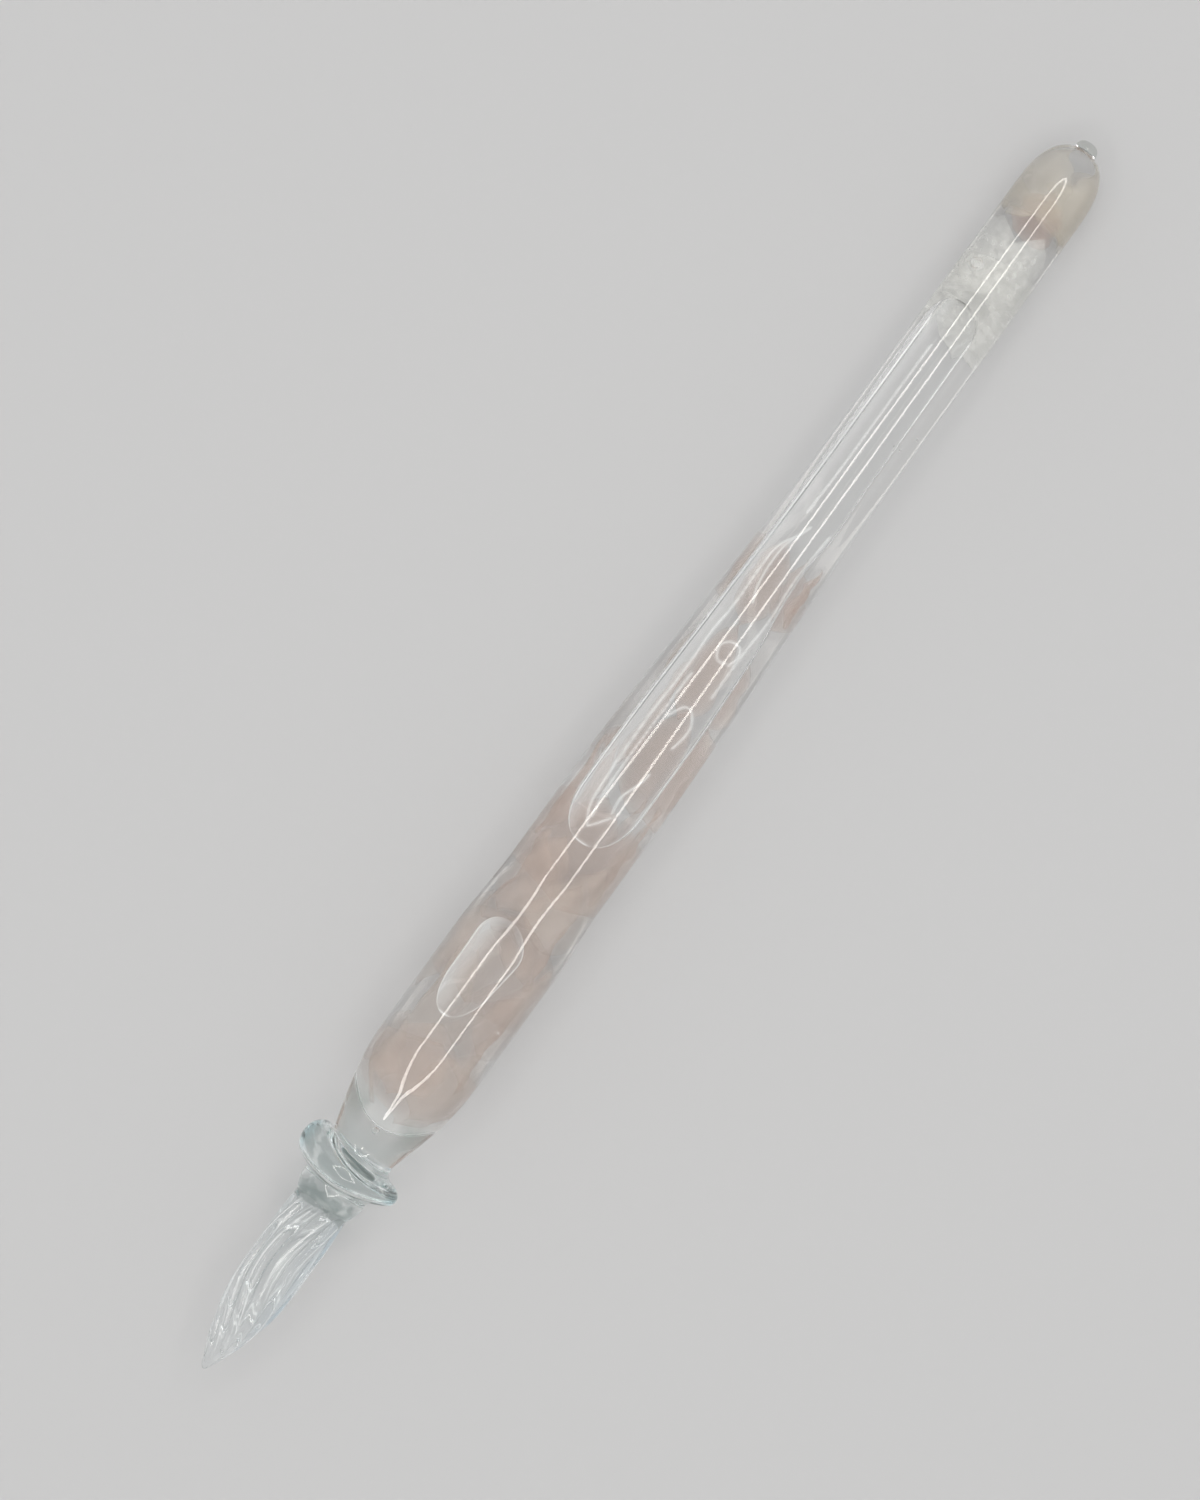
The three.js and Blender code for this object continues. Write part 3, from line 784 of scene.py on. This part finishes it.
# %% The line of painted shade along the belly
EDGE_SHADE_ANGLE = -79
EDGE_SHADE_WIDTH = 4.5
EDGE_SHADE_STARTS = (55, 60)
EDGE_SHADE_ENDS = (69, 75)
EDGE_SHADE_STRENGTH = 0.85
x, angle = rings[..., 0], np.degrees(np.arctan2(-rings[..., 1], rings[..., 2]))
smoke = np.exp(-(((angle - EDGE_SHADE_ANGLE) / EDGE_SHADE_WIDTH) ** 2))
smoke = smoke * ease(share(x, *EDGE_SHADE_STARTS)) * (1 - ease(share(x, *EDGE_SHADE_ENDS)))
paint(tube, "smoke", (EDGE_SHADE_STRENGTH * smoke).ravel())
print("the shaded line covers", int((smoke > 0.5).sum()), "points of the tube")

# %% [markdown]
# The drop that seals the tail
#
# Its stem fills the hole, and its head is a small flattened drop, drawn off in the flame. The stem is
# fused to the tube all round, so only the head has a surface that can be seen.


# %% The seal
def seal_rings():
    steps = np.linspace(0, math.pi / 2, 20)[:-1]
    head_x = TUBE_END + SEAL_LENGTH * np.sin(steps)
    head_radius = SEAL_RADIUS * np.cos(steps) ** 0.6
    stem = [[TUBE_END - SEAL_STEM_LENGTH, FILL_HOLE_RADIUS], [TUBE_END, FILL_HOLE_RADIUS]]
    profile = np.concatenate([stem, np.stack([head_x, head_radius], axis=1)])
    return turned(profile, 64), [1, 1, 1] + [0] * len(head_x)


rings, marks = seal_rings()
piece("tail_drop", *skin(rings, marks), [drop_glass, fused_joint], "clear_glass", "tail_seal")

# %% [markdown]
# The oil and its bubbles
#
# The oil fills the bore, and its skin lies against the glass, where the wall already does the bending. The
# air in it is two long bubbles along the top of the bore. Each is a hollow in the oil: a round-ended slug
# with the wall's curve above, a nearly level surface below, and rounded edges, because oil wets glass and
# creeps up it.


# %% The oil's skin and the hollows in it
FILM = 0.06
SMALL_BUBBLE = {
    "start": CUP_BOTTOM + 14.5, "end": CUP_BOTTOM + 27.7, "rounding": (5.0, 3.0), "sag": 0.35,
    # x, and the bubble's two edges there, in degrees round the bore from the top
    "edges": [(49, -48, 14), (52, -48, 16.6), (55.5, -48, 20), (59, -49, 25), (61.3, -50, 20), (63, -50, 18)],
}
LONG_BUBBLE = {
    "start": CUP_BOTTOM + 39.7, "end": BORE_END - 21.8, "rounding": (6.0, 3.6), "sag": 0.4,
    "edges": [(74, -56, 46), (81, -58, 49), (92.6, -62.5, 52.5), (104, -63, 50), (111, -66, 37),
              (116.3, -68, 36), (120.3, -70, 47), (127, -75, 42), (146, -79, 40), (151, -79, 40)],
}
DROPLETS = [
    # small round bubbles: x, y, z from the axis, radius
    (155.8, 2.0, 0.7, 0.78),
    (153.3, -0.6, 1.6, 0.14), (135.2, -2.9, 0.4, 0.14), (133.0, -2.3, 1.0, 0.11), (51.3, -3.9, 1.6, 0.16),
]
print("two long bubbles and", len(DROPLETS), "small round ones")

# %% [markdown]
# Painted highlights on the bubbles
#
# The photo shows fine white lines along the bubbles' edges and across the long one's floor. They are painted
# highlights, given on the mesh as an amount. The lines on the floor were placed where the photo has them.

# %% Where the painted highlights lie
GLOW_LINES = [
    # x along the pen, and sideways towards -y
    [(76.7, -0.8), (77.7, -1.5), (78.9, -2.0), (81.0, -2.25), (85.6, -2.4), (91.4, -2.5), (96.0, -2.3),
     (99.5, -2.25), (103.3, -2.4), (107.0, -2.0), (114.0, -2.2), (116.2, -1.9), (117.7, -0.9), (119.7, -0.2)],
    [(76.7, -0.8), (77.5, -0.2), (78.3, 0.35), (78.9, 0.75)],
    [(79.6, 0.6), (80.7, 0.35), (81.9, 0.35), (83.0, 0.8), (84.4, 1.25), (85.6, 1.4)],
    [(89.6, 1.75), (91.4, 2.1), (92.9, 2.1), (93.9, 1.5), (94.6, 0.8), (94.3, 0.1), (93.5, -0.35),
     (92.3, -0.8)],
    [(101.0, 0.9), (100.9, 0.0), (101.8, -0.6), (102.9, -0.7), (103.7, 0.2), (103.7, 1.4), (102.4, 1.85),
     (101.2, 1.4)],
    [(108.7, -0.5), (110.5, -1.2), (112.8, -1.5), (115.7, -1.5), (117.7, -1.0)],
    [(77.8, -1.0), (80.0, -1.45), (85.0, -1.6), (92.0, -1.55), (98.0, -1.4)],
    [(121.0, -1.5), (128.0, -1.3), (136.0, -1.35), (145.0, -1.3)],
    [(97.0, 2.0), (103.0, 1.9), (108.0, 2.2), (113.5, 1.7), (120.0, 2.1)],
]
GLOW_LINE_STRENGTH = 0.36
GLOW_LINE_WIDTH = 0.17
print("foam in", len(GLOW_LINES), "lines")


# %% A bubble as a hollow
def slug_outline(half_angle, radius, sag, count=112):
    """A bubble's cross-section: the wall's arc above, a sagging surface below, and rounded edges."""
    arc = np.linspace(-half_angle, half_angle, count // 2, endpoint=False)
    above = np.stack([np.sin(arc), np.cos(arc)], axis=1) * radius
    w = np.linspace(1, -1, count // 2, endpoint=False)
    width, level = radius * math.sin(half_angle), radius * math.cos(half_angle)
    below = np.stack([w * width, level - sag * (1 - w * w)], axis=1)
    outline = np.concatenate([above, below])
    for _ in range(9):
        outline = (np.roll(outline, 1, axis=0) + 2 * outline + np.roll(outline, -1, axis=0)) / 4
    return outline


def bubble_rings(bubble):
    start, end = bubble["start"], bubble["end"]
    first, last = bubble["rounding"]
    turn = np.linspace(0, math.pi / 2, 28)[1:]
    straight = np.linspace(start + first, end - last, int((end - last - start - first) / 0.2))
    xs = np.concatenate([
        start + first * (1 - np.cos(turn)), straight[1:-1], end - last * (1 - np.cos(turn[::-1])),
    ])
    table = np.array(bubble["edges"])
    fine = np.linspace(start - 6, end + 6, 600)
    blur = np.hanning(41) / np.hanning(41).sum()
    lows, highs = (np.convolve(np.interp(fine, table[:, 0], table[:, k]), blur, "same") for k in (1, 2))
    rings = []
    for x in xs:
        rounding = math.sqrt(1 - (1 - min(1, (x - start) / first)) ** 2)
        rounding *= math.sqrt(1 - (1 - min(1, (end - x) / last)) ** 2)
        low, high = np.interp(x, fine, lows), np.interp(x, fine, highs)
        half = math.radians((high - low) / 2) * rounding
        outline = slug_outline(half, float(bore_radius(x)) - FILM, bubble["sag"] * rounding)
        reach, angle = np.hypot(outline[:, 0], outline[:, 1]), np.arctan2(outline[:, 0], outline[:, 1])
        rings.append(around(x, reach, angle + math.radians((low + high) / 2)))
    return np.array(rings)


# %% How much painted highlight there is at each point of a bubble
def painted_glow_on(rings):
    """How much painted highlight there is at each point: along the bubble's rim, and along the lines on its
    floor.
    """
    count = rings.shape[1]
    steps = np.arange(count)
    from_rim = np.minimum(np.minimum(steps, count - steps), np.abs(steps - count // 2))
    ring_x = rings[:, :1, 0]
    fading = 1 - 0.85 * ease(share(ring_x, 147.0, 148.5))
    more_near_nib = 0.25 * (1 - ease(share(ring_x, 84, 96)))
    more_near_tail = 0.6 * ease(share(ring_x, 130, 141))
    glow_strength = 0.3 + more_near_nib + more_near_tail
    foam = np.exp(-((from_rim / 1.7) ** 4))[None, :] * glow_strength * fading
    from_start = rings[..., 0] - rings[..., 0].min()
    foam = np.maximum(foam, 0.35 * np.exp(-((from_start / 0.22) ** 2)))
    x, sideways = rings[..., 0], -rings[..., 1]
    floor = (steps > count // 2 + 3) & (steps < count - 3)
    for line in GLOW_LINES:
        corners = np.array(line)
        for _ in range(3):
            cut = [0.75 * corners[:-1] + 0.25 * corners[1:], 0.25 * corners[:-1] + 0.75 * corners[1:]]
            corners = np.concatenate([corners[:1], np.stack(cut, axis=1).reshape(-1, 2), corners[-1:]])
        run = np.linspace(0, len(corners) - 1, 3 * len(corners))
        line_x, line_y = (np.interp(run, np.arange(len(corners)), corners[:, k]) for k in (0, 1))
        near = (x[..., None] - line_x) ** 2 + (sideways[..., None] - line_y) ** 2
        line_glow = GLOW_LINE_STRENGTH * np.exp(-near.min(-1) / GLOW_LINE_WIDTH**2)
        foam = np.maximum(foam, line_glow * floor)
    return np.append(foam.ravel(), [0, 0])


# %% The oil with its bubbles
def droplet_rings(x, y, z, radius):
    tilt = np.linspace(0, math.pi, 18)[1:-1]
    rings = turned(np.stack([-np.cos(tilt), np.sin(tilt)], axis=1) * radius, 28)
    return rings + np.array([x, y, z])


def oil_piece():
    cup = CUP_BOTTOM + (TUBE_START - CUP_BOTTOM) * np.linspace(0.02, 1, 50) ** 2
    bore_dome = BORE_END - BORE_DOME_LENGTH
    inner_end = bore_dome + (BORE_END - bore_dome) * np.sin(np.linspace(0, math.pi / 2, 30))[1:-1]
    x = np.concatenate([cup, np.linspace(TUBE_START, bore_dome, 200)[1:], inner_end])
    x = x[(bore_radius(x) > FILL_HOLE_RADIUS) | (x < TUBE_START)]
    rings = turned(np.stack([x, bore_radius(x) - 0.03], axis=1))
    bubbles = [bubble_rings(bubble) for bubble in (SMALL_BUBBLE, LONG_BUBBLE)]
    droplets = [droplet_rings(*row) for row in DROPLETS]
    hollows = [hollow(*skin(hollow_rings), 1) for hollow_rings in bubbles + droplets]
    made = piece("oil_and_bubbles", *joined(skin(rings), *hollows), [oil_against_glass, oil_surface],
                 "filling_liquid", "liquid_fill")
    # The bubbles are painted with highlights along their rims and floor lines.
    foam = np.concatenate([np.zeros(rings.shape[0] * rings.shape[1] + 2)] + [painted_glow_on(b) for b in bubbles])
    paint(made, "foam", np.append(foam, np.zeros(len(made.data.vertices) - len(foam))))
    arc = np.zeros(len(made.data.vertices))
    first = len(rings) * rings.shape[1] + 2 + bubbles[0].shape[0] * bubbles[0].shape[1] + 2
    from_end = LONG_BUBBLE["end"] - bubbles[1][..., 0].ravel()
    arc[first:first + len(from_end)] = ARC_STRENGTH * np.exp(-((from_end / ARC_WIDTH) ** 2))
    paint(made, "arc", arc)


ARC_STRENGTH = 0.9
ARC_WIDTH = 0.18
oil_piece()

# %% [markdown]
# Petals
#
# Each petal is a thin sheet: broad in its middle, narrow at its claw, rippled, and ragged at its edge. It
# is made as a grid along and across the petal, bent round the bore, and given the thickness of a dried
# petal. Oil makes it translucent, so it is a film whose alpha varies from blotch to blotch and thins out
# towards the edge. The sheets aren't kept apart, so some pass through each other.

# %% Where each petal lies
PETALS = [
    # from, along the bore, angle, length, spread, layer
    ("grip", 6.4, 166, 10, 108, 0),
    ("grip", 7.2, -88, 10.6, 96, 1),
    ("grip", 8, 66, 11, 100, 1),
    ("grip", 8.6, -16, 10, 92, 0),
    ("grip", 14.6, 118, 13.5, 104, 2),
    ("grip", 16.4, -134, 13.6, 108, 3),
    ("grip", 19, 78, 13, 84, 0),
    ("grip", 22.6, 176, 12.4, 112, 1),
    ("grip", 22.4, -92, 14, 76, 0),
    ("grip", 28.8, 134, 13.8, 106, 3),
    ("grip", 32.8, 48, 12.4, 92, 0),
    ("grip", 32.4, -130, 13, 104, 2),
    ("grip", 33.6, -42, 11.4, 92, 1),
    ("grip", 38.8, 178, 14, 108, 0),
    ("grip", 41.2, 96, 14, 78, 1),
    ("grip", 44.5, -110, 14, 74, 1),
    ("grip", 52.6, 150, 14, 100, 0),
    ("grip", 57, -120, 15, 60, 2),
    ("grip", 64.5, 176, 13, 92, 1),
    ("grip", 76.6, -168, 11, 92, 0),
    ("grip", 77.4, 104, 8, 70, 1),
    ("tail", 20.8, 146, 13, 140, 0),
    ("tail", 16.3, -74, 11.2, 120, 0),
    ("tail", 15.4, 36, 10, 84, 1),
    ("tail", 5.1, -62, 9.2, 150, 0),
    ("tail", 5.3, 94, 9, 158, 0),
    ("tail", 8.4, 172, 6.6, 104, 2),
]
PALE_PETALS = (22, 23, 24)
TAN_PETALS = (2, 3, 6, 9, 11)
ROSE_PETALS = (14, 16, 17, 18, 19, 20, 21)
TAIL_PETALS = (25, 26)
DEEP_PETALS = (27,)
PETAL_SKEW = 0.16
PETAL_CLEARANCE = 0.3
TAIL_CLEARANCE = 0.12
PETAL_THICKNESS = 0.09
PETAL_LAYER = 0.45
print(len(PETALS), "petals, of which", len(PALE_PETALS), "are pale")


# %% The petal materials
def petal_material(name, dark, light, cover, grain=260.0, contrast=0.5):
    """A translucent film. Its mesh says how near each point is to the petal's edge, where it thins out."""
    material, tree, output = new_material(name)
    place = add_node(tree, "ShaderNodeTexCoord").out("Object")
    inner = painted(tree, "inner")
    blotches = add_node(tree, "ShaderNodeTexNoise", Vector=place, Scale=grain, Detail=3.0, Roughness=0.55)
    tone = add_node(tree, "ShaderNodeValToRGB", {"stops": [(0.3, dark), (0.7, light)]}, i0=blotches.out(0))
    film = (blotches.out(0) * contrast + (1 - contrast / 2)) * (inner * 0.7 + 0.3) * cover
    bsdf = add_node(tree, "ShaderNodeBsdfPrincipled", Base_Color=tone.out(0), Roughness=0.6,
                    Specular_IOR_Level=0.0, Alpha=film.clamped())
    tree.links.new(bsdf.out().socket, output.inputs["Surface"])
    return material


pink_petal = petal_material("pink_petal", from_chart(196, 175, 163), from_chart(214, 195, 183), 0.18)
rose_petal = petal_material("rose_petal", from_chart(198, 176, 164), from_chart(216, 196, 185), 0.23)
tan_petal = petal_material("tan_petal", from_chart(201, 185, 173), from_chart(219, 205, 194), 0.18)
tail_petal = petal_material("tail_petal", from_chart(207, 198, 183), from_chart(225, 218, 205), 0.27)
deep_petal = petal_material("deep_petal", from_chart(190, 164, 152), from_chart(208, 183, 171), 0.26)
pale_petal = petal_material("pale_petal", from_chart(226, 226, 221), from_chart(252, 252, 248), 0.23,
                            grain=1500.0, contrast=1.6)
OTHER_PETALS = ((TAN_PETALS, tan_petal), (ROSE_PETALS, rose_petal), (TAIL_PETALS, tail_petal),
                (DEEP_PETALS, deep_petal))


def petal_look(number):
    """The material of a petal, and its slot."""
    if number in PALE_PETALS:
        return pale_petal, "pale_petal"
    for numbers, material in OTHER_PETALS:
        if number in numbers:
            return material, "pink_petal"
    return pink_petal, "pink_petal"


print("made", len(bpy.data.materials), "materials in all")


# %% A petal as a rippled sheet
def petal_sheet(row, seed):
    start_from, along, angle, length, spread, layer = row
    random = np.random.default_rng(seed)
    middle = CUP_BOTTOM + along if start_from == "grip" else BORE_END - along
    in_dome = start_from == "tail" and along < 6
    near_wall = start_from == "tail" and layer < 2
    bluntness = 7 if in_dome else 4.5 if near_wall else 2.8
    u = np.linspace(-1, 1, 49)[:, None]
    v = np.linspace(-1, 1, 33)[None, :]
    ragged = sum(random.uniform(0.2, 1) * np.sin(k * 2.1 * u + random.uniform(0, 6.3)) for k in (1, 2, 3, 5))
    breadth = (1 - np.abs(u) ** bluntness) ** 0.6 * (1 - 0.22 * u) * (1 + 0.07 * ragged)
    broader = 0.7 if near_wall and not in_dome else 0.58
    half_spread = math.radians(spread * broader) * np.maximum(0.1, breadth)
    x = middle + length / 2 * u * (1 - 0.1 * v * v)
    x = x + 0.25 * np.sin(3.3 * v + random.uniform(0, 6.3)) * np.abs(u)
    if in_dome:
        x = x + (0.5 * np.sin(8 * v + angle) + 0.25 * np.sin(19 * v)) * np.maximum(0, -u)
    turn = math.radians(angle) + PETAL_SKEW * u + half_spread * v
    wall = bore_radius(x) - (TAIL_CLEARANCE if near_wall else PETAL_CLEARANCE) - layer * PETAL_LAYER
    ripple = sum(
        random.uniform(0.3, 1) * np.sin(a * u + b * v + random.uniform(0, 6.3))
        for a, b in ((2.5, 1.5), (-3, 4), (6, 2), (4, -7), (9, 5))
    )
    lift = (0.28 + 0.11 * ripple + 0.5 * (1 - v * v) * random.uniform(0.2, 1)) * (0.35 if near_wall else 1)
    return around(x, wall - np.maximum(0.02, lift), turn)


def petal_piece(number, row):
    near = petal_sheet(row, 100 + number)
    inward = near * np.array([1, 0, 0]) - near
    inward = inward / np.maximum(np.linalg.norm(inward, axis=-1, keepdims=True), 1e-9)
    far = near + inward * PETAL_THICKNESS
    rings = np.concatenate([near, far[:, ::-1]], axis=1)
    name = f"petal_{number:02d}"
    material, slot = petal_look(number)
    made = piece(f"{name}_sheet", *skin(rings), [material], slot, name)
    rows, columns = near.shape[:2]
    u = np.abs(np.linspace(-1, 1, rows))[:, None]
    v = np.abs(np.linspace(-1, 1, columns))[None, :]
    inner = (1 - u**4) * (1 - v**4)
    inner = np.concatenate([inner, inner[:, ::-1]], axis=1).ravel()
    paint(made, "inner", np.append(inner, [0, 0]))


for number, row in enumerate(PETALS, 1):
    petal_piece(number, row)

# %% [markdown]
# The desk, the lamp and the camera
#
# Clear glass is a picture of its surroundings. The two long highlights on the handle are one ring lamp,
# seen in a long round surface, and some of the grey in the nib and collar is the darker room above. So the
# lamp is a large ring, and the world runs from pale at the horizon to darker overhead. A second ring at a
# fifth of the lamp's strength is seen only through glass. No real lamp does that.

# %% The desk
desk_colour = from_chart(197, 197, 198)
desk_material, tree, output = new_material("desk")
bsdf = add_node(tree, "ShaderNodeBsdfPrincipled", Base_Color=(*desk_colour, 1), Roughness=0.9,
                Specular_IOR_Level=0.1)
tree.links.new(bsdf.out().socket, output.inputs["Surface"])
mesh = bpy.data.meshes.new("desk")
reach = 3.0
mesh.from_pydata([(-reach, -reach, 0), (reach, -reach, 0), (reach, reach, 0), (-reach, reach, 0)], [],
                 [(0, 1, 2, 3)])
mesh.materials.append(desk_material)
desk = bpy.data.objects.new("desk", mesh)
bpy.context.scene.collection.objects.link(desk)
print("the desk is", 2 * reach, "m wide")

# %% The loop lamp
LAMP_HEIGHT = 0.740
LAMP_WIDTH = 0.060
LAMP_LOOP = [
    # along the pen, half the loop's width there, in metres
    (-0.460, 0.0), (-0.457, 0.030), (-0.410, 0.042), (-0.360, 0.052), (-0.330, 0.088), (-0.275, 0.180),
    (-0.225, 0.240), (-0.181, 0.280), (-0.110, 0.325), (-0.051, 0.362), (0.020, 0.330), (0.080, 0.278),
    (0.150, 0.225), (0.250, 0.185), (0.350, 0.150), (0.430, 0.095), (0.470, 0.035), (0.480, 0.0),
]
LAMP_STRENGTH = 10.0
LAMP_STRENGTH_INSIDE = 2.0


def smooth_loop(half_loop, rounds=4):
    """A closed loop from one half of its outline, rounded by cutting corners."""
    half_loop = np.array(half_loop)
    loop = np.concatenate([half_loop, (half_loop * [1, -1])[-2:0:-1]])
    for _ in range(rounds):
        after = np.roll(loop, -1, axis=0)
        loop = np.stack([0.75 * loop + 0.25 * after, 0.25 * loop + 0.75 * after], axis=1).reshape(-1, 2)
    return loop


loop = smooth_loop(LAMP_LOOP)
along = np.roll(loop, -1, axis=0) - np.roll(loop, 1, axis=0)
outward = np.stack([along[:, 1], -along[:, 0]], axis=1) / np.linalg.norm(along, axis=1, keepdims=True)
edges = np.concatenate([loop - outward * LAMP_WIDTH / 2, loop + outward * LAMP_WIDTH / 2])
count = len(loop)


def lamp(name, strength, height):
    material, tree, output = new_material(name)
    glow = add_node(tree, "ShaderNodeEmission", Color=(1.0, 0.97, 0.93, 1), Strength=strength)
    tree.links.new(glow.out().socket, output.inputs["Surface"])
    mesh = bpy.data.meshes.new(name)
    mesh.from_pydata([(x, y, height) for x, y in edges.tolist()], [],
                     [[i, (i + 1) % count, count + (i + 1) % count, count + i] for i in range(count)])
    mesh.materials.append(material)
    made = bpy.data.objects.new(name, mesh)
    bpy.context.scene.collection.objects.link(made)
    made.visible_camera = False
    return made


# The lamp lights the desk and is mirrored by the glass. Only its weaker copy is seen through the glass.
loop_lamp = lamp("loop_lamp", LAMP_STRENGTH, LAMP_HEIGHT)
loop_lamp.visible_transmission = False
inner_lamp = lamp("inner_lamp", LAMP_STRENGTH_INSIDE, LAMP_HEIGHT + 0.002)
inner_lamp.visible_shadow = False
inner_lamp.visible_diffuse = False
inner_lamp.visible_glossy = False

# %% The room: pale at the horizon, darker overhead
world = bpy.data.worlds.new("room")
bpy.context.scene.world = world
world.use_nodes = True
tree = world.node_tree
tree.nodes.clear()
direction = add_node(tree, "ShaderNodeTexCoord").out("Generated")
height = add_node(tree, "ShaderNodeSeparateXYZ", Vector=direction).out("Z")
sky = add_node(tree, "ShaderNodeValToRGB", {"stops": [
    (0.0, from_chart(220, 221, 222)), (0.3, from_chart(214, 215, 216)), (0.65, from_chart(194, 196, 197)),
    (1.0, from_chart(174, 177, 178)),
]}, i0=height)
background = add_node(tree, "ShaderNodeBackground", Color=sky.out(0), Strength=1.0)
output = tree.nodes.new("ShaderNodeOutputWorld")
tree.links.new(background.out().socket, output.inputs["Surface"])

# %% The camera, straight above, with the pen across its picture
CAMERA_HEIGHT = 0.740
PICTURE = (1200, 1500)
POINT_PIXEL = np.array([203.0, 1368.0])
TAIL_PIXEL = np.array([1091.0, 144.0])


def set_camera():
    """Places the camera so that the nib's point and the seal's end fall on their pixels."""
    ends = laid_down([[0, 0, 0], [PEN_LENGTH, 0, 0]])
    run = (TAIL_PIXEL - POINT_PIXEL) * [1, -1]
    roll = math.atan2(run[1], run[0])
    depth = CAMERA_HEIGHT - ends[:, 2]
    scale = np.linalg.norm(run) / PICTURE[1]
    right = np.array([math.cos(roll), -math.sin(roll)])
    up = np.array([math.sin(roll), math.cos(roll)])
    offset = (np.stack([POINT_PIXEL, TAIL_PIXEL]) - np.array(PICTURE) / 2) * [1, -1] / PICTURE[1]
    place = np.zeros(2)
    for _ in range(20):
        seen = (ends[:, :2] - place) / depth[:, None]
        in_picture = np.stack([seen @ right, seen @ up], axis=1)
        width = np.linalg.norm(in_picture[1] - in_picture[0])
        span = width / scale
        error = (in_picture - offset * span).mean(0)
        place = place + (error[0] * right + error[1] * up) * depth.mean()
    return place, roll, span


place, roll, span = set_camera()
camera_data = bpy.data.cameras.new("camera")
camera_data.sensor_fit = "VERTICAL"
camera_data.sensor_height = 24.0
camera_data.lens = camera_data.sensor_height / span
camera_data.clip_start = 0.01
camera = bpy.data.objects.new("camera", camera_data)
camera.location = (place[0], place[1], CAMERA_HEIGHT)
camera.rotation_euler = (0, 0, -roll)
bpy.context.scene.collection.objects.link(camera)
bpy.context.scene.camera = camera
print("camera over", place, "lens", round(camera_data.lens, 1), "roll", round(math.degrees(roll), 2))

# %% Render settings that glass needs
scene = bpy.context.scene
scene.view_settings.view_transform = "Standard"
scene.cycles.max_bounces = 20
scene.cycles.transmission_bounces = 16
scene.cycles.glossy_bounces = 12
scene.cycles.transparent_max_bounces = 48
scene.cycles.caustics_reflective = False
scene.cycles.caustics_refractive = False
